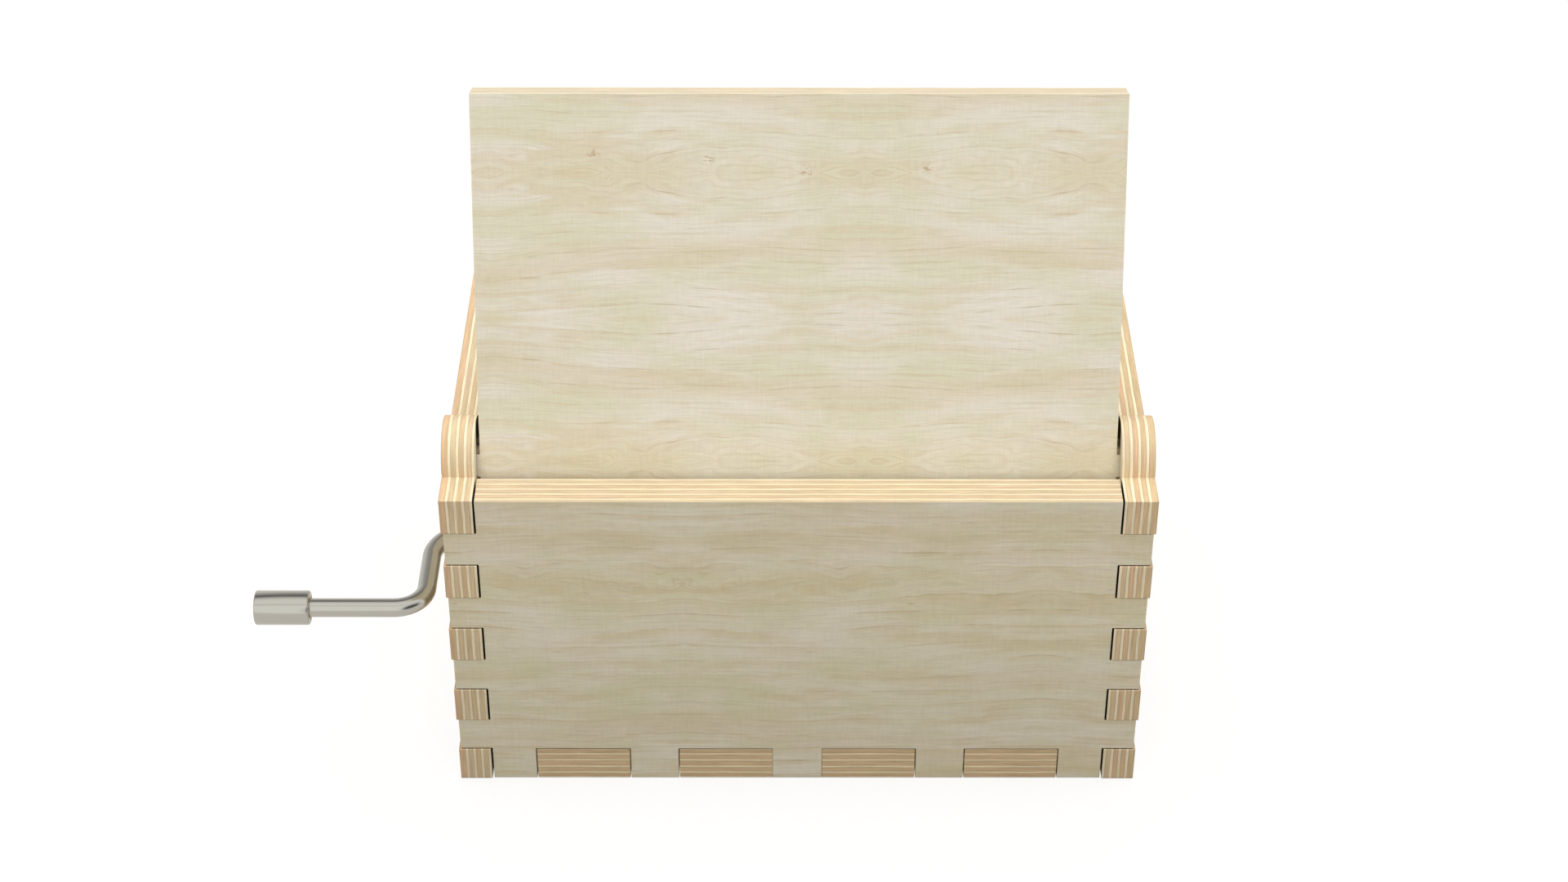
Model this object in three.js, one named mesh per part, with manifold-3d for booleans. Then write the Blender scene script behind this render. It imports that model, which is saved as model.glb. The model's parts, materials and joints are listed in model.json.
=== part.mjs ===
// A hand cranked music box: a finger jointed plywood case with a tab hinged lid, and an
// eighteen note movement whose pinned cylinder is driven by a worm on the crank shaft.
// Millimetres. X runs across the case, Y from the hinge side to the front, Z up.
// The origin is the centre of the case's underside.
import * as THREE from 'three';
import { mergeVertices } from 'three/addons/utils/BufferGeometryUtils.js';
import Module from 'manifold-3d';

const wasm = await Module();
wasm.setup();

// Case
const caseWidth = 64;
const caseDepth = 41;
const wallHeight = 33.1;
const sidePly = 3;
const endPly = 3.4;
const floorPly = 3.6;
const lidPly = 3.1;
const fingerRows = 9;
const floorTabWidth = 8.8;
const floorTabPitch = 13.5;
const endTabs = 4;
const sideTabs = 2;

// Joinery clearances
const jointGap = 0.08;
const shoulderGap = 0.17;
const fingerRecess = 0.18;
const faceRecess = 0.1;

// Lid and its pivots in the ears of the side panels
const lidOpenDegrees = 70.6;
const pivotTabWidth = 2.1;
const pivotClearance = 0.18;
const earRadius = 3.55;
const earSetback = 0.05;
const pivotBelowEar = 0.6;
const pivotBehindEar = 0.2;
const lidSideGap = 0.27;
const lidTailGap = 0.8;
const lidFrontSetback = 0.25;
const lidRestGap = 0.15;

// Crank
const wireRadius = 0.86;
const crankThrow = 11.2;
const shaftBend = 3.7;
const handleBend = 2.75;
const crankStandOff = 2.05;
const crankReach = 15.3;
const crankHoleClearance = 1;
const knobRadius = 1.57;
const knobLength = 4.95;
const knobEndWall = 0.8;
const knobChamfer = 0.15;
const knobRunningGap = 0.1;
const knobEndGap = 0.3;

// Movement, placed from the case's rear face and left face
const shaftFromRear = 11;
const arborFromLeft = 18;
const bedThickness = 1.6;
const bedMargin = 0.35;
const bedLeftOverhang = 10;
const bedRightOverhang = 2.4;
const bedCorner = 2;
const cylinderRadius = 6.5;
const pinHeight = 0.8;
const pinRadius = 0.24;
const cylinderGroundGap = 0.82;
const cylinderRim = 0.9;
const cylinderRecess = 0.8;
const cylinderEndMargin = 0.25;
const cylinderHubRadius = 2.6;
const cylinderToWorm = 0.35;
const cylinderToBearing = 0.6;
const pinRoot = 0.6;
const pinsPerTrack = 6;
const beats = 40;
const trackBeatSteps = 7;
const noteBeatSteps = 13;
const scatterSteps = 5;
const teeth = 18;

// Worm and wheel
const gearModule = 0.48;
const wheelTeeth = 22;
const wheelWidth = 2.4;
const wheelHubRadius = 2.2;
const wheelHubProud = 0.4;
const wormPitchRadius = 2.5;
const wormThreadLength = 7.6;
const threadRoot = 0.3;
const pressureAngle = THREE.MathUtils.degToRad(20);
const backlash = 0.18;

// Shafts and bearings
const shaftRadius = 1.35;
const shaftSocketDepth = 5;
const shaftLeftOverhang = 3.6;
const shaftRightOverhang = 0.6;
const shaftChamfer = 0.25;
const arborRadius = 1.1;
const pivotRadius = 0.7;
const pivotOverhang = 0.35;
const runningGap = 0.1;
const seatGap = 0.06;
const endPlay = 0.2;
const sheet = 1;
const bracketHalfGap = 6.4;
const bracketLegHalf = 2.05;
const bendRadius = 0.5;
const bearingHeadRadius = 2.3;
const bearingFootHalf = 4.8;
const bearingFootMargin = 0.7;

// Comb
const combLength = 22.4;
const bassLength = 14;
const trebleLength = 9;
const toothThickness = 0.7;
const combThickness = 1.3;
const rootSetback = 0.6;
const slotWidth = 0.26;
const pluckGap = 0.3;
const weightedTeeth = 8;
const weightLength = 4.4;
const weightStep = 0.35;
const weightDepth = 1.4;
const weightTaper = 0.1;
const weightSetback = 0.8;
const weightSideGap = 0.05;
const combScrewInset = 4;
const combScrewSpread = 0.6;

// Screws
const screwRadius = 0.8;
const screwHeadRadius = 1.35;
const screwHeadHeight = 0.8;
const screwMargin = 0.1;
const bracketScrewSpacing = 7.2;
const bracketScrewSetback = 4.2;
const screwSlotWidth = 0.36;
const screwSlotDepth = 0.4;
const movementScrewRadius = 1;
const movementScrewHead = 1.9;
const movementScrewSunk = 0.3;
const movementScrewInset = 2.6;

// Facets: divisions of a half turn on flat outlines, sides of a turned piece
const smoothArcSteps = 14;
const plainArcSteps = 10;
const smallArcSteps = 6;
const turnedSides = 24;
const smallSides = 16;
const cylinderSides = 36;
const pinSides = 4;
const threadSteps = 20;
const bendSteps = 8;

// How far a cutting tool runs past the face it cuts
const overcut = 1;

// Places that follow from the sizes
const halfWidth = caseWidth / 2;
const halfDepth = caseDepth / 2;
const fingerPitch = wallHeight / fingerRows;
const endNotch = endPly + faceRecess;
const innerHalfWidth = halfWidth - sidePly;
const innerHalfDepth = halfDepth - endNotch;
const pivotHoleRadius = Math.hypot(pivotTabWidth, lidPly) / 2 + pivotClearance;
const earY = -innerHalfDepth + earSetback + earRadius;
const pivotY = earY - pivotBehindEar;
const pivotZ = wallHeight - pivotBelowEar;
const bedTop = floorPly + bedThickness;
const shaftY = shaftFromRear - halfDepth;
const arborX = arborFromLeft - halfWidth;
const pinTipRadius = cylinderRadius + pinHeight;
const arborZ = bedTop + cylinderGroundGap + pinTipRadius;
const wheelPitchRadius = gearModule * wheelTeeth / 2;
const shaftZ = arborZ + wheelPitchRadius + wormPitchRadius;
const wormLead = Math.PI * gearModule;
const addendum = gearModule;
const dedendum = 1.25 * gearModule;
const legOuter = bracketHalfGap + sheet;
const bendOuter = bendRadius + sheet;
const bedHalfDepth = innerHalfDepth - bedMargin;
const rearLegY = -bedHalfDepth;
const bearingFootDepth = bendOuter + 2 * (screwHeadRadius + screwMargin);
const farBearingY = bedHalfDepth - bearingFootMargin - bearingFootDepth;
const cylinderStart = shaftY + wormPitchRadius + addendum + cylinderToWorm;
const cylinderEnd = farBearingY - cylinderToBearing;
const cylinderLength = cylinderEnd - cylinderStart;
const combStart = cylinderStart + cylinderEndMargin;
const combEnd = cylinderEnd - cylinderEndMargin;
const toothPitch = (combEnd - combStart) / teeth;
const combMiddle = (combStart + combEnd) / 2;
const tipX = arborX + pinTipRadius + pluckGap;
const combBack = tipX + combLength;
const combTop = arborZ;
const bedLeft = arborX - bedLeftOverhang;
const bedRight = combBack + bedRightOverhang;

// Colours and finishes
const plain = (color, roughness, metalness) =>
  new THREE.MeshStandardMaterial({ color, roughness, metalness });
const maplePly = () => plain(0xe2d3b0, 0.62, 0);
const nickelSteel = () => plain(0xb9b7b0, 0.3, 1);
const tonedSteel = () => plain(0x9fa1a3, 0.34, 1);
const yellowBrass = () => plain(0xc9a65a, 0.32, 1);
const castZinc = () => plain(0xa7a8a6, 0.45, 1);

// Turns a closed geometry into a manifold solid with its faces pointing out.
function solidFrom(geometry) {
  const source = geometry.clone();
  source.deleteAttribute('normal');
  source.deleteAttribute('uv');
  const merged = mergeVertices(source, 1e-5);
  const corners = Array.from(merged.index.array);
  const kept = [];
  for (let i = 0; i < corners.length; i += 3) {
    const [a, b, c] = corners.slice(i, i + 3);
    if (a !== b && b !== c && c !== a) kept.push(a, b, c);
  }
  const vertProperties = new Float32Array(merged.attributes.position.array);
  if (signedVolume(vertProperties, kept) < 0) kept.reverse();
  const triVerts = new Uint32Array(kept);
  return new wasm.Manifold(new wasm.Mesh({ numProp: 3, vertProperties, triVerts }));
}

function signedVolume(positions, corners) {
  const at = (index) => new THREE.Vector3().fromArray(positions, 3 * index);
  let sum = 0;
  for (let i = 0; i < corners.length; i += 3) {
    sum += at(corners[i]).dot(at(corners[i + 1]).cross(at(corners[i + 2])));
  }
  return sum / 6;
}

function geometryFrom(solid) {
  const mesh = solid.getMesh();
  const geometry = new THREE.BufferGeometry();
  geometry.setAttribute('position', new THREE.BufferAttribute(mesh.vertProperties, 3));
  geometry.setIndex(new THREE.BufferAttribute(mesh.triVerts, 1));
  geometry.computeVertexNormals();
  return geometry;
}

const joined = (solids) => solids.reduce((whole, next) => whole.add(next));
const drilled = (solid, tools) => tools.reduce((whole, tool) => whole.subtract(tool), solid);

function piece(name, solid, material) {
  const mesh = new THREE.Mesh(geometryFrom(solid), material);
  mesh.name = name;
  return mesh;
}

// A flat outline of [x, y] points, with optional round holes { x, y, radius }.
function outline(points, holes = []) {
  const shape = new THREE.Shape(points.map(([x, y]) => new THREE.Vector2(x, y)));
  for (const hole of holes) shape.holes.push(circle(hole));
  return shape;
}

const circle = ({ x, y, radius }) => new THREE.Path().absarc(x, y, radius, 0, 2 * Math.PI);

const extruded = (shape, depth, curveSegments = plainArcSteps) =>
  new THREE.ExtrudeGeometry(shape, { depth, curveSegments, bevelEnabled: false });

const plate = (shape, depth, segments) => solidFrom(extruded(shape, depth, segments));

// A box between two corners.
function block([x0, y0, z0], [x1, y1, z1]) {
  const geometry = new THREE.BoxGeometry(x1 - x0, y1 - y0, z1 - z0);
  return solidFrom(geometry.translate((x0 + x1) / 2, (y0 + y1) / 2, (z0 + z1) / 2));
}

// A turned solid about +Z from a profile of [radius, z] points.
function turned(profile, segments = turnedSides) {
  const points = profile.map(([radius, z]) => new THREE.Vector2(radius, z));
  return solidFrom(new THREE.LatheGeometry(points, segments).rotateX(Math.PI / 2));
}

const rod = (radius, z0, z1, segments) =>
  turned([[0, z0], [radius, z0], [radius, z1], [0, z1]], segments);

// Points along the straight edge from a to b, stepped sideways by depth over each span.
// Positive depth steps to the right of travel, which is outwards on an anticlockwise outline.
function steppedEdge(a, b, spans, depth) {
  const length = Math.hypot(b[0] - a[0], b[1] - a[1]);
  const along = [(b[0] - a[0]) / length, (b[1] - a[1]) / length];
  const at = (s, side) => [
    a[0] + along[0] * s + along[1] * side,
    a[1] + along[1] * s - along[0] * side,
  ];
  const steps = spans.flatMap(([s0, s1]) => [at(s0, 0), at(s0, depth), at(s1, depth), at(s1, 0)]);
  return [a, ...steps];
}

const reversedSpans = (spans, length) =>
  spans.map(([s0, s1]) => [length - s1, length - s0]).reverse();

// The end panels' finger rows, as heights above the underside, narrowed by the gap.
function fingerSpans(gap) {
  const spans = [];
  for (let row = 1; row < fingerRows; row += 2) {
    spans.push([row * fingerPitch + gap, (row + 1) * fingerPitch - gap]);
  }
  return spans;
}

// The floor's tabs along an edge of the given length, widened by the gap.
function tabSpans(count, length, gap) {
  const spans = [];
  for (let i = 0; i < count; i += 1) {
    const centre = length / 2 + (i - (count - 1) / 2) * floorTabPitch;
    spans.push([centre - floorTabWidth / 2 - gap, centre + floorTabWidth / 2 + gap]);
  }
  return spans;
}

// Extruded panels stand up with these turns: across X for the sides, across Y for the ends.
const standAcrossX = (mesh) => mesh.rotation.set(Math.PI / 2, Math.PI / 2, 0);
const standAcrossY = (mesh) => mesh.rotation.set(Math.PI / 2, 0, 0);

function sidePanel(name, x, holes) {
  const notchHeight = floorPly + jointGap;
  const rows = fingerSpans(0);
  const bottom = steppedEdge([-halfDepth, 0], [halfDepth, 0],
    tabSpans(sideTabs, caseDepth, jointGap), -notchHeight);
  const front = steppedEdge([halfDepth, 0], [halfDepth, wallHeight], rows, -endNotch);
  const rear = steppedEdge([-halfDepth, wallHeight], [-halfDepth, 0],
    reversedSpans(rows, wallHeight), -endNotch);
  const shape = new THREE.Shape();
  shape.moveTo(...bottom[0]);
  for (const point of [...bottom.slice(1), ...front, [halfDepth, wallHeight]]) {
    shape.lineTo(...point);
  }
  shape.absarc(earY, wallHeight, earRadius, 0, Math.PI, false);
  for (const point of rear) shape.lineTo(...point);
  const pivotHole = { x: pivotY, y: pivotZ, radius: pivotHoleRadius };
  for (const hole of [pivotHole, ...holes]) shape.holes.push(circle(hole));
  const mesh = piece(name, plate(shape, sidePly, smoothArcSteps), maplePly());
  standAcrossX(mesh);
  mesh.position.x = x;
  return mesh;
}

function endPanel(name, height, outerY) {
  const shoulder = innerHalfWidth - shoulderGap;
  const reach = halfWidth - fingerRecess - shoulder;
  const rows = fingerSpans(jointGap);
  const bottom = steppedEdge([-shoulder, 0], [shoulder, 0],
    tabSpans(endTabs, 2 * shoulder, jointGap), -(floorPly + jointGap));
  const right = steppedEdge([shoulder, 0], [shoulder, height], rows, reach);
  const left = steppedEdge([-shoulder, height], [-shoulder, 0],
    reversedSpans(rows, height), reach);
  const points = [...bottom, ...right, [shoulder, height], ...left];
  const mesh = piece(name, plate(outline(points), endPly), maplePly());
  standAcrossY(mesh);
  mesh.position.y = outerY;
  return mesh;
}

// Centres of the screws that hold the bedplate down through the floor.
function movementScrewPlaces() {
  const side = bedHalfDepth - movementScrewInset;
  return [
    [bedLeft + movementScrewInset, side],
    [bedRight - movementScrewInset, side],
    [bedRight - movementScrewInset, -side],
  ];
}

// The countersink and shank of a movement screw, grown by a gap, from the floor's underside.
function sunkProfile(gap, base, tip) {
  const shank = movementScrewRadius + gap;
  const head = movementScrewHead + gap;
  const neck = movementScrewSunk + movementScrewHead - movementScrewRadius;
  return [[0, base], [head, base], [head, movementScrewSunk], [shank, neck], [shank, tip], [0, tip]];
}

function floorPanel() {
  const x = innerHalfWidth - jointGap;
  const y = innerHalfDepth - jointGap;
  const endReach = halfDepth - faceRecess - y;
  const sideReach = halfWidth - fingerRecess - x;
  const points = [
    ...steppedEdge([-x, -y], [x, -y], tabSpans(endTabs, 2 * x, 0), endReach),
    ...steppedEdge([x, -y], [x, y], tabSpans(sideTabs, 2 * y, 0), sideReach),
    ...steppedEdge([x, y], [-x, y], tabSpans(endTabs, 2 * x, 0), endReach),
    ...steppedEdge([-x, y], [-x, -y], tabSpans(sideTabs, 2 * y, 0), sideReach),
  ];
  const sinks = movementScrewPlaces().map(([sx, sy]) =>
    turned(sunkProfile(runningGap, -overcut, floorPly + overcut), smallSides).translate(sx, sy, 0));
  return piece('bottom_panel', drilled(plate(outline(points), floorPly), sinks), maplePly());
}

// The lid lies closed along +Y of its hinge group, whose axis passes through its pivot tabs.
function lid() {
  const half = innerHalfWidth - lidSideGap;
  const swing = pivotY + innerHalfDepth - lidTailGap;
  const tail = Math.sqrt(swing ** 2 - (lidPly / 2) ** 2);
  const front = halfDepth - lidFrontSetback - pivotY;
  const tab = [[tail - pivotTabWidth / 2, tail + pivotTabWidth / 2]];
  const tabReach = halfWidth - fingerRecess - half;
  const points = [
    [-half, -tail],
    ...steppedEdge([half, -tail], [half, front], tab, tabReach),
    [half, front],
    ...steppedEdge([-half, front], [-half, -tail], reversedSpans(tab, front + tail), tabReach),
  ];
  const mesh = piece('lid', plate(outline(points), lidPly), maplePly());
  mesh.position.z = -lidPly / 2;
  return mesh;
}

// A slotted cheese head screw whose head seats at z = 0 and whose shank runs down.
function screw(name, length, position) {
  const profile = [
    [0, -length],
    [screwRadius, -length],
    [screwRadius, 0],
    [screwHeadRadius, 0],
    [screwHeadRadius, screwHeadHeight],
    [0, screwHeadHeight],
  ];
  const slot = block(
    [-2 * screwHeadRadius, -screwSlotWidth / 2, screwHeadHeight - screwSlotDepth],
    [2 * screwHeadRadius, screwSlotWidth / 2, screwHeadHeight + overcut],
  );
  const mesh = piece(name, turned(profile, smallSides).subtract(slot), nickelSteel());
  mesh.position.set(...position);
  return mesh;
}

function movementScrew(name, [x, y]) {
  const body = turned(sunkProfile(0, movementScrewSunk, bedTop - seatGap), smallSides);
  const slot = block(
    [-2 * movementScrewHead, -screwSlotWidth / 2, -overcut],
    [2 * movementScrewHead, screwSlotWidth / 2, movementScrewSunk + screwSlotDepth],
  );
  const mesh = piece(name, body.subtract(slot), nickelSteel());
  mesh.position.set(x, y, 0);
  return mesh;
}

// Screw centres [x, y] on the bedplate
const combScrews = [-1, 1].map((side) => [
  combBack - combScrewInset,
  combMiddle + side * combScrewSpread * (combEnd - combStart) / 2,
]);
const bracketScrews = [-1, 1].map((side) => [
  arborX + side * bracketScrewSpacing / 2,
  shaftY - bracketScrewSetback,
]);
const bearingScrews = [-1, 1].map((side) => [
  arborX + side * (bearingFootHalf - screwHeadRadius - screwMargin),
  farBearingY + bendOuter + (bearingFootDepth - bendOuter) / 2,
]);

const holesAt = (places, radius) => places.map(([x, y]) => ({ x, y, radius }));

function roundedRectangle(x0, y0, x1, y1, corner) {
  const shape = new THREE.Shape();
  shape.absarc(x1 - corner, y0 + corner, corner, -Math.PI / 2, 0, false);
  shape.absarc(x1 - corner, y1 - corner, corner, 0, Math.PI / 2, false);
  shape.absarc(x0 + corner, y1 - corner, corner, Math.PI / 2, Math.PI, false);
  shape.absarc(x0 + corner, y0 + corner, corner, Math.PI, 1.5 * Math.PI, false);
  return shape;
}

function bedplate() {
  const shape = roundedRectangle(bedLeft, -bedHalfDepth, bedRight, bedHalfDepth, bedCorner);
  const small = [...combScrews, ...bracketScrews, ...bearingScrews];
  const holes = [
    ...holesAt(small, screwRadius + seatGap),
    ...holesAt(movementScrewPlaces(), movementScrewRadius + seatGap),
  ];
  for (const hole of holes) shape.holes.push(circle(hole));
  const mesh = piece('bedplate', plate(shape, bedThickness, smallArcSteps), castZinc());
  mesh.position.z = floorPly;
  return mesh;
}

// The plan of the comb's thick root and of the block under it: their front edge slants,
// because the bass teeth at the wheel end are longer than the treble teeth.
function rootPlan() {
  return [
    [tipX + bassLength + rootSetback, combStart],
    [combBack, combStart],
    [combBack, combEnd],
    [tipX + trebleLength + rootSetback, combEnd],
  ];
}

function combBase() {
  const holes = holesAt(combScrews, screwRadius + runningGap);
  const solid = plate(outline(rootPlan(), holes), combTop - combThickness - bedTop, smallArcSteps);
  const mesh = piece('comb_base', solid, yellowBrass());
  mesh.position.z = bedTop;
  return mesh;
}

// The comb in plan, its top face at z = 0.
function comb() {
  const full = [[tipX, combStart], [combBack, combStart], [combBack, combEnd], [tipX, combEnd]];
  const holes = holesAt(combScrews, screwRadius + runningGap);
  const toothPlate = plate(outline(full, holes), toothThickness, smallArcSteps);
  const root = plate(outline(rootPlan(), holes), combThickness, smallArcSteps);
  const body = toothPlate.translate(0, 0, -toothThickness).add(root.translate(0, 0, -combThickness));
  const slots = [];
  const weights = [];
  for (let i = 1; i < teeth; i += 1) {
    const y = combStart + i * toothPitch;
    const length = THREE.MathUtils.lerp(bassLength, trebleLength, i / teeth);
    slots.push(block(
      [tipX - overcut, y - slotWidth / 2, -combThickness - overcut],
      [tipX + length, y + slotWidth / 2, overcut],
    ));
  }
  for (let i = 0; i < weightedTeeth; i += 1) {
    const y = combStart + (i + 0.5) * toothPitch;
    const halfTooth = (toothPitch - slotWidth) / 2 - weightSideGap;
    const start = tipX + weightSetback;
    weights.push(block(
      [start, y - halfTooth, -toothThickness - weightDepth + i * weightTaper],
      [start + weightLength - i * weightStep, y + halfTooth, -toothThickness / 2],
    ));
  }
  const mesh = piece('comb', joined([drilled(body, slots), ...weights]), tonedSteel());
  mesh.position.z = combTop;
  return mesh;
}

// A bearing leg seen face on: a round head about the bore at the origin, on a foot of the
// given half width that stands depth below the bore and rises straight past its bend.
function legFace(headRadius, footHalf, depth, boreRadius) {
  const shape = new THREE.Shape();
  shape.moveTo(-footHalf, -depth);
  shape.lineTo(footHalf, -depth);
  shape.lineTo(footHalf, bendOuter - depth);
  shape.absarc(0, 0, headRadius, 0, Math.PI, false);
  shape.lineTo(-footHalf, bendOuter - depth);
  shape.holes.push(circle({ x: 0, y: 0, radius: boreRadius }));
  return shape;
}

// The section of a bent sheet: its foot runs out to x = reach, its upright stands at x = 0.
function bendSection(reach, height) {
  const shape = new THREE.Shape();
  shape.moveTo(reach, 0);
  shape.lineTo(reach, sheet);
  shape.absarc(bendOuter, bendOuter, bendRadius, -Math.PI / 2, -Math.PI, true);
  shape.lineTo(sheet, height);
  shape.lineTo(0, height);
  shape.absarc(bendOuter, bendOuter, bendOuter, Math.PI, 1.5 * Math.PI, false);
  return shape;
}

// A leg bent up from its foot, the upright's outer face at y = 0 and the foot along +Y.
function bentLeg({ headRadius, footHalf, boreZ, boreRadius, reach }) {
  const section = extruded(bendSection(reach, boreZ + headRadius), 2 * footHalf, smallArcSteps)
    .rotateX(Math.PI / 2).rotateZ(Math.PI / 2);
  const face = extruded(legFace(headRadius, footHalf, boreZ, boreRadius), reach).rotateX(Math.PI / 2);
  return solidFrom(section).translate(-footHalf, 0, 0)
    .intersect(solidFrom(face).translate(0, reach, boreZ));
}

const arborLeg = (reach) => bentLeg({
  headRadius: bearingHeadRadius,
  footHalf: bearingFootHalf,
  boreZ: arborZ - bedTop,
  boreRadius: pivotRadius + runningGap,
  reach,
});

// Clearance cuts for screws at the given places in a sheet that lies on z = 0.
const screwCuts = (places) => places.map(([x, y]) =>
  rod(screwRadius + runningGap, -overcut, sheet + overcut, smallSides).translate(x, y, 0));

// One bent sheet: two legs carry the worm shaft, the third the arbor's wheel end.
function driveBracket() {
  const front = shaftY + bracketLegHalf;
  const baseHalf = legOuter - bendOuter;
  const base = block([-baseHalf, rearLegY + bendOuter, 0], [baseHalf, front, sheet]);
  const shaftLeg = bentLeg({
    headRadius: bracketLegHalf,
    footHalf: bracketLegHalf,
    boreZ: shaftZ - bedTop,
    boreRadius: shaftRadius + runningGap,
    reach: legOuter,
  });
  const whole = joined([
    base,
    shaftLeg.rotate([0, 0, -90]).translate(-legOuter, shaftY, 0),
    shaftLeg.rotate([0, 0, 90]).translate(legOuter, shaftY, 0),
    arborLeg(front - rearLegY).translate(0, rearLegY, 0),
  ]);
  const cuts = screwCuts(bracketScrews.map(([x, y]) => [x - arborX, y]));
  const mesh = piece('drive_bracket', drilled(whole, cuts), nickelSteel());
  mesh.position.set(arborX, 0, bedTop);
  return mesh;
}

// The far bearing, its foot turned away from the cylinder.
function arborBearing() {
  const cuts = screwCuts(bearingScrews.map(([x, y]) => [x - arborX, y - farBearingY]));
  const mesh = piece('arbor_bearing', drilled(arborLeg(bearingFootDepth), cuts), nickelSteel());
  mesh.position.set(arborX, farBearingY, bedTop);
  return mesh;
}

// Angle from a tooth's middle to its involute flank at a radius.
function flankAngle(radius) {
  const baseRadius = wheelPitchRadius * Math.cos(pressureAngle);
  const rolled = (r) => {
    const angle = Math.acos(Math.min(1, baseRadius / r));
    return Math.tan(angle) - angle;
  };
  const atPitch = Math.PI / (2 * wheelTeeth) - backlash / (4 * wheelPitchRadius);
  return atPitch + rolled(wheelPitchRadius) - rolled(Math.max(radius, baseRadius));
}

// The wheel about +Z: its teeth lean with the worm's lead. A gap faces +X at mid width.
function wormWheel() {
  const radii = [-dedendum, -dedendum / 2, 0, addendum].map((step) => wheelPitchRadius + step);
  const points = [];
  for (let tooth = 0; tooth < wheelTeeth; tooth += 1) {
    const middle = (tooth + 0.5) * 2 * Math.PI / wheelTeeth;
    const flank = radii.map((radius) => [radius, middle - flankAngle(radius)]);
    const back = radii.map((radius) => [radius, middle + flankAngle(radius)]).reverse();
    points.push(...[...flank, ...back].map(([r, a]) => [r * Math.cos(a), r * Math.sin(a)]));
  }
  const rim = new THREE.ExtrudeGeometry(outline(points),
    { depth: wheelWidth, steps: 2, bevelEnabled: false }).translate(0, 0, -wheelWidth / 2);
  const lean = wormLead / (2 * Math.PI * wormPitchRadius) / wheelPitchRadius;
  const vertices = rim.attributes.position;
  const vertex = new THREE.Vector3();
  const axis = new THREE.Vector3(0, 0, 1);
  for (let i = 0; i < vertices.count; i += 1) {
    vertex.fromBufferAttribute(vertices, i);
    vertex.applyAxisAngle(axis, lean * vertex.z);
    vertices.setXYZ(i, vertex.x, vertex.y, vertex.z);
  }
  const hubReach = wheelWidth / 2 + wheelHubProud;
  const hub = rod(wheelHubRadius, -hubReach, hubReach);
  const bore = rod(arborRadius + seatGap, -2 * hubReach, 2 * hubReach);
  return piece('worm_wheel', solidFrom(rim).add(hub).subtract(bore), yellowBrass());
}

// A path with its own points and frames, for an extrusion whose section must not turn.
class FramedPath extends THREE.Curve {
  constructor(points, normals, binormals) {
    super();
    this.points = points;
    this.normals = normals;
    this.binormals = binormals;
  }

  getSpacedPoints() {
    return this.points;
  }

  computeFrenetFrames() {
    return { normals: this.normals, binormals: this.binormals };
  }
}

const swept = (shape, path) =>
  solidFrom(new THREE.ExtrudeGeometry(shape, { steps: path.points.length - 1, extrudePath: path }));

// The thread about +Z, right handed, with its section drawn as [radial, axial] offsets.
function thread() {
  const halfAtPitch = wormLead / 4 - backlash / 4;
  const slope = Math.tan(pressureAngle);
  const section = outline([
    [-dedendum - threadRoot, halfAtPitch + dedendum * slope],
    [-dedendum - threadRoot, -halfAtPitch - dedendum * slope],
    [-dedendum, -halfAtPitch - dedendum * slope],
    [addendum, -halfAtPitch + addendum * slope],
    [addendum, halfAtPitch - addendum * slope],
    [-dedendum, halfAtPitch + dedendum * slope],
  ]);
  const turns = Math.ceil(wormThreadLength / wormLead) + 2;
  const points = [];
  const normals = [];
  const binormals = [];
  for (let i = 0; i <= turns * threadSteps; i += 1) {
    const angle = 2 * Math.PI * i / threadSteps;
    const normal = new THREE.Vector3(Math.cos(angle), Math.sin(angle), 0);
    normals.push(normal);
    binormals.push(new THREE.Vector3(0, 0, 1));
    const z = wormLead * (i / threadSteps - turns / 2);
    points.push(normal.clone().multiplyScalar(wormPitchRadius).setZ(z));
  }
  const ridge = swept(section, new FramedPath(points, normals, binormals));
  const half = wormThreadLength / 2;
  return ridge.intersect(rod(wormPitchRadius + 2 * addendum, -half, half));
}

// The worm about +Z, centred on the wheel, its plain ends filling the bracket.
function worm() {
  const reach = bracketHalfGap - endPlay;
  const core = rod(wormPitchRadius - dedendum, -reach, reach);
  const bore = rod(shaftRadius + seatGap, -2 * reach, 2 * reach);
  return piece('worm', core.add(thread()).subtract(bore), yellowBrass());
}

// The shaft about +Z, with a socket in its left end that the crank's wire screws into.
function wormShaft() {
  const left = -legOuter - shaftLeftOverhang;
  const right = legOuter + shaftRightOverhang;
  const socket = wireRadius + seatGap;
  return piece('worm_shaft', turned([
    [0, left + shaftSocketDepth],
    [socket, left + shaftSocketDepth],
    [socket, left],
    [shaftRadius - shaftChamfer, left],
    [shaftRadius, left + shaftChamfer],
    [shaftRadius, right - shaftChamfer],
    [shaftRadius - shaftChamfer, right],
    [0, right],
  ]), nickelSteel());
}

// Points of the crank's centre line in the plane of its bends, from the shaft's socket
// (measured along the shaft from the wheel) out to the handle's end, with their tangents.
function crankStations() {
  const linkX = -halfWidth - crankStandOff - arborX;
  const socketEnd = -legOuter - shaftLeftOverhang + shaftSocketDepth - knobEndGap;
  const tipEnd = linkX - crankReach + knobEndWall + knobEndGap;
  const stations = [{ x: socketEnd, y: 0, heading: 0 }];
  for (let i = 0; i <= bendSteps; i += 1) {
    const heading = (i / bendSteps) * Math.PI / 2;
    stations.push({
      x: linkX + shaftBend * (1 - Math.sin(heading)),
      y: -shaftBend * (1 - Math.cos(heading)),
      heading,
    });
  }
  for (let i = bendSteps; i >= 0; i -= 1) {
    const heading = (i / bendSteps) * Math.PI / 2;
    stations.push({
      x: linkX - handleBend * (1 - Math.sin(heading)),
      y: -crankThrow + handleBend * (1 - Math.cos(heading)),
      heading,
    });
  }
  stations.push({ x: tipEnd, y: -crankThrow, heading: 0 });
  return stations;
}

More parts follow.
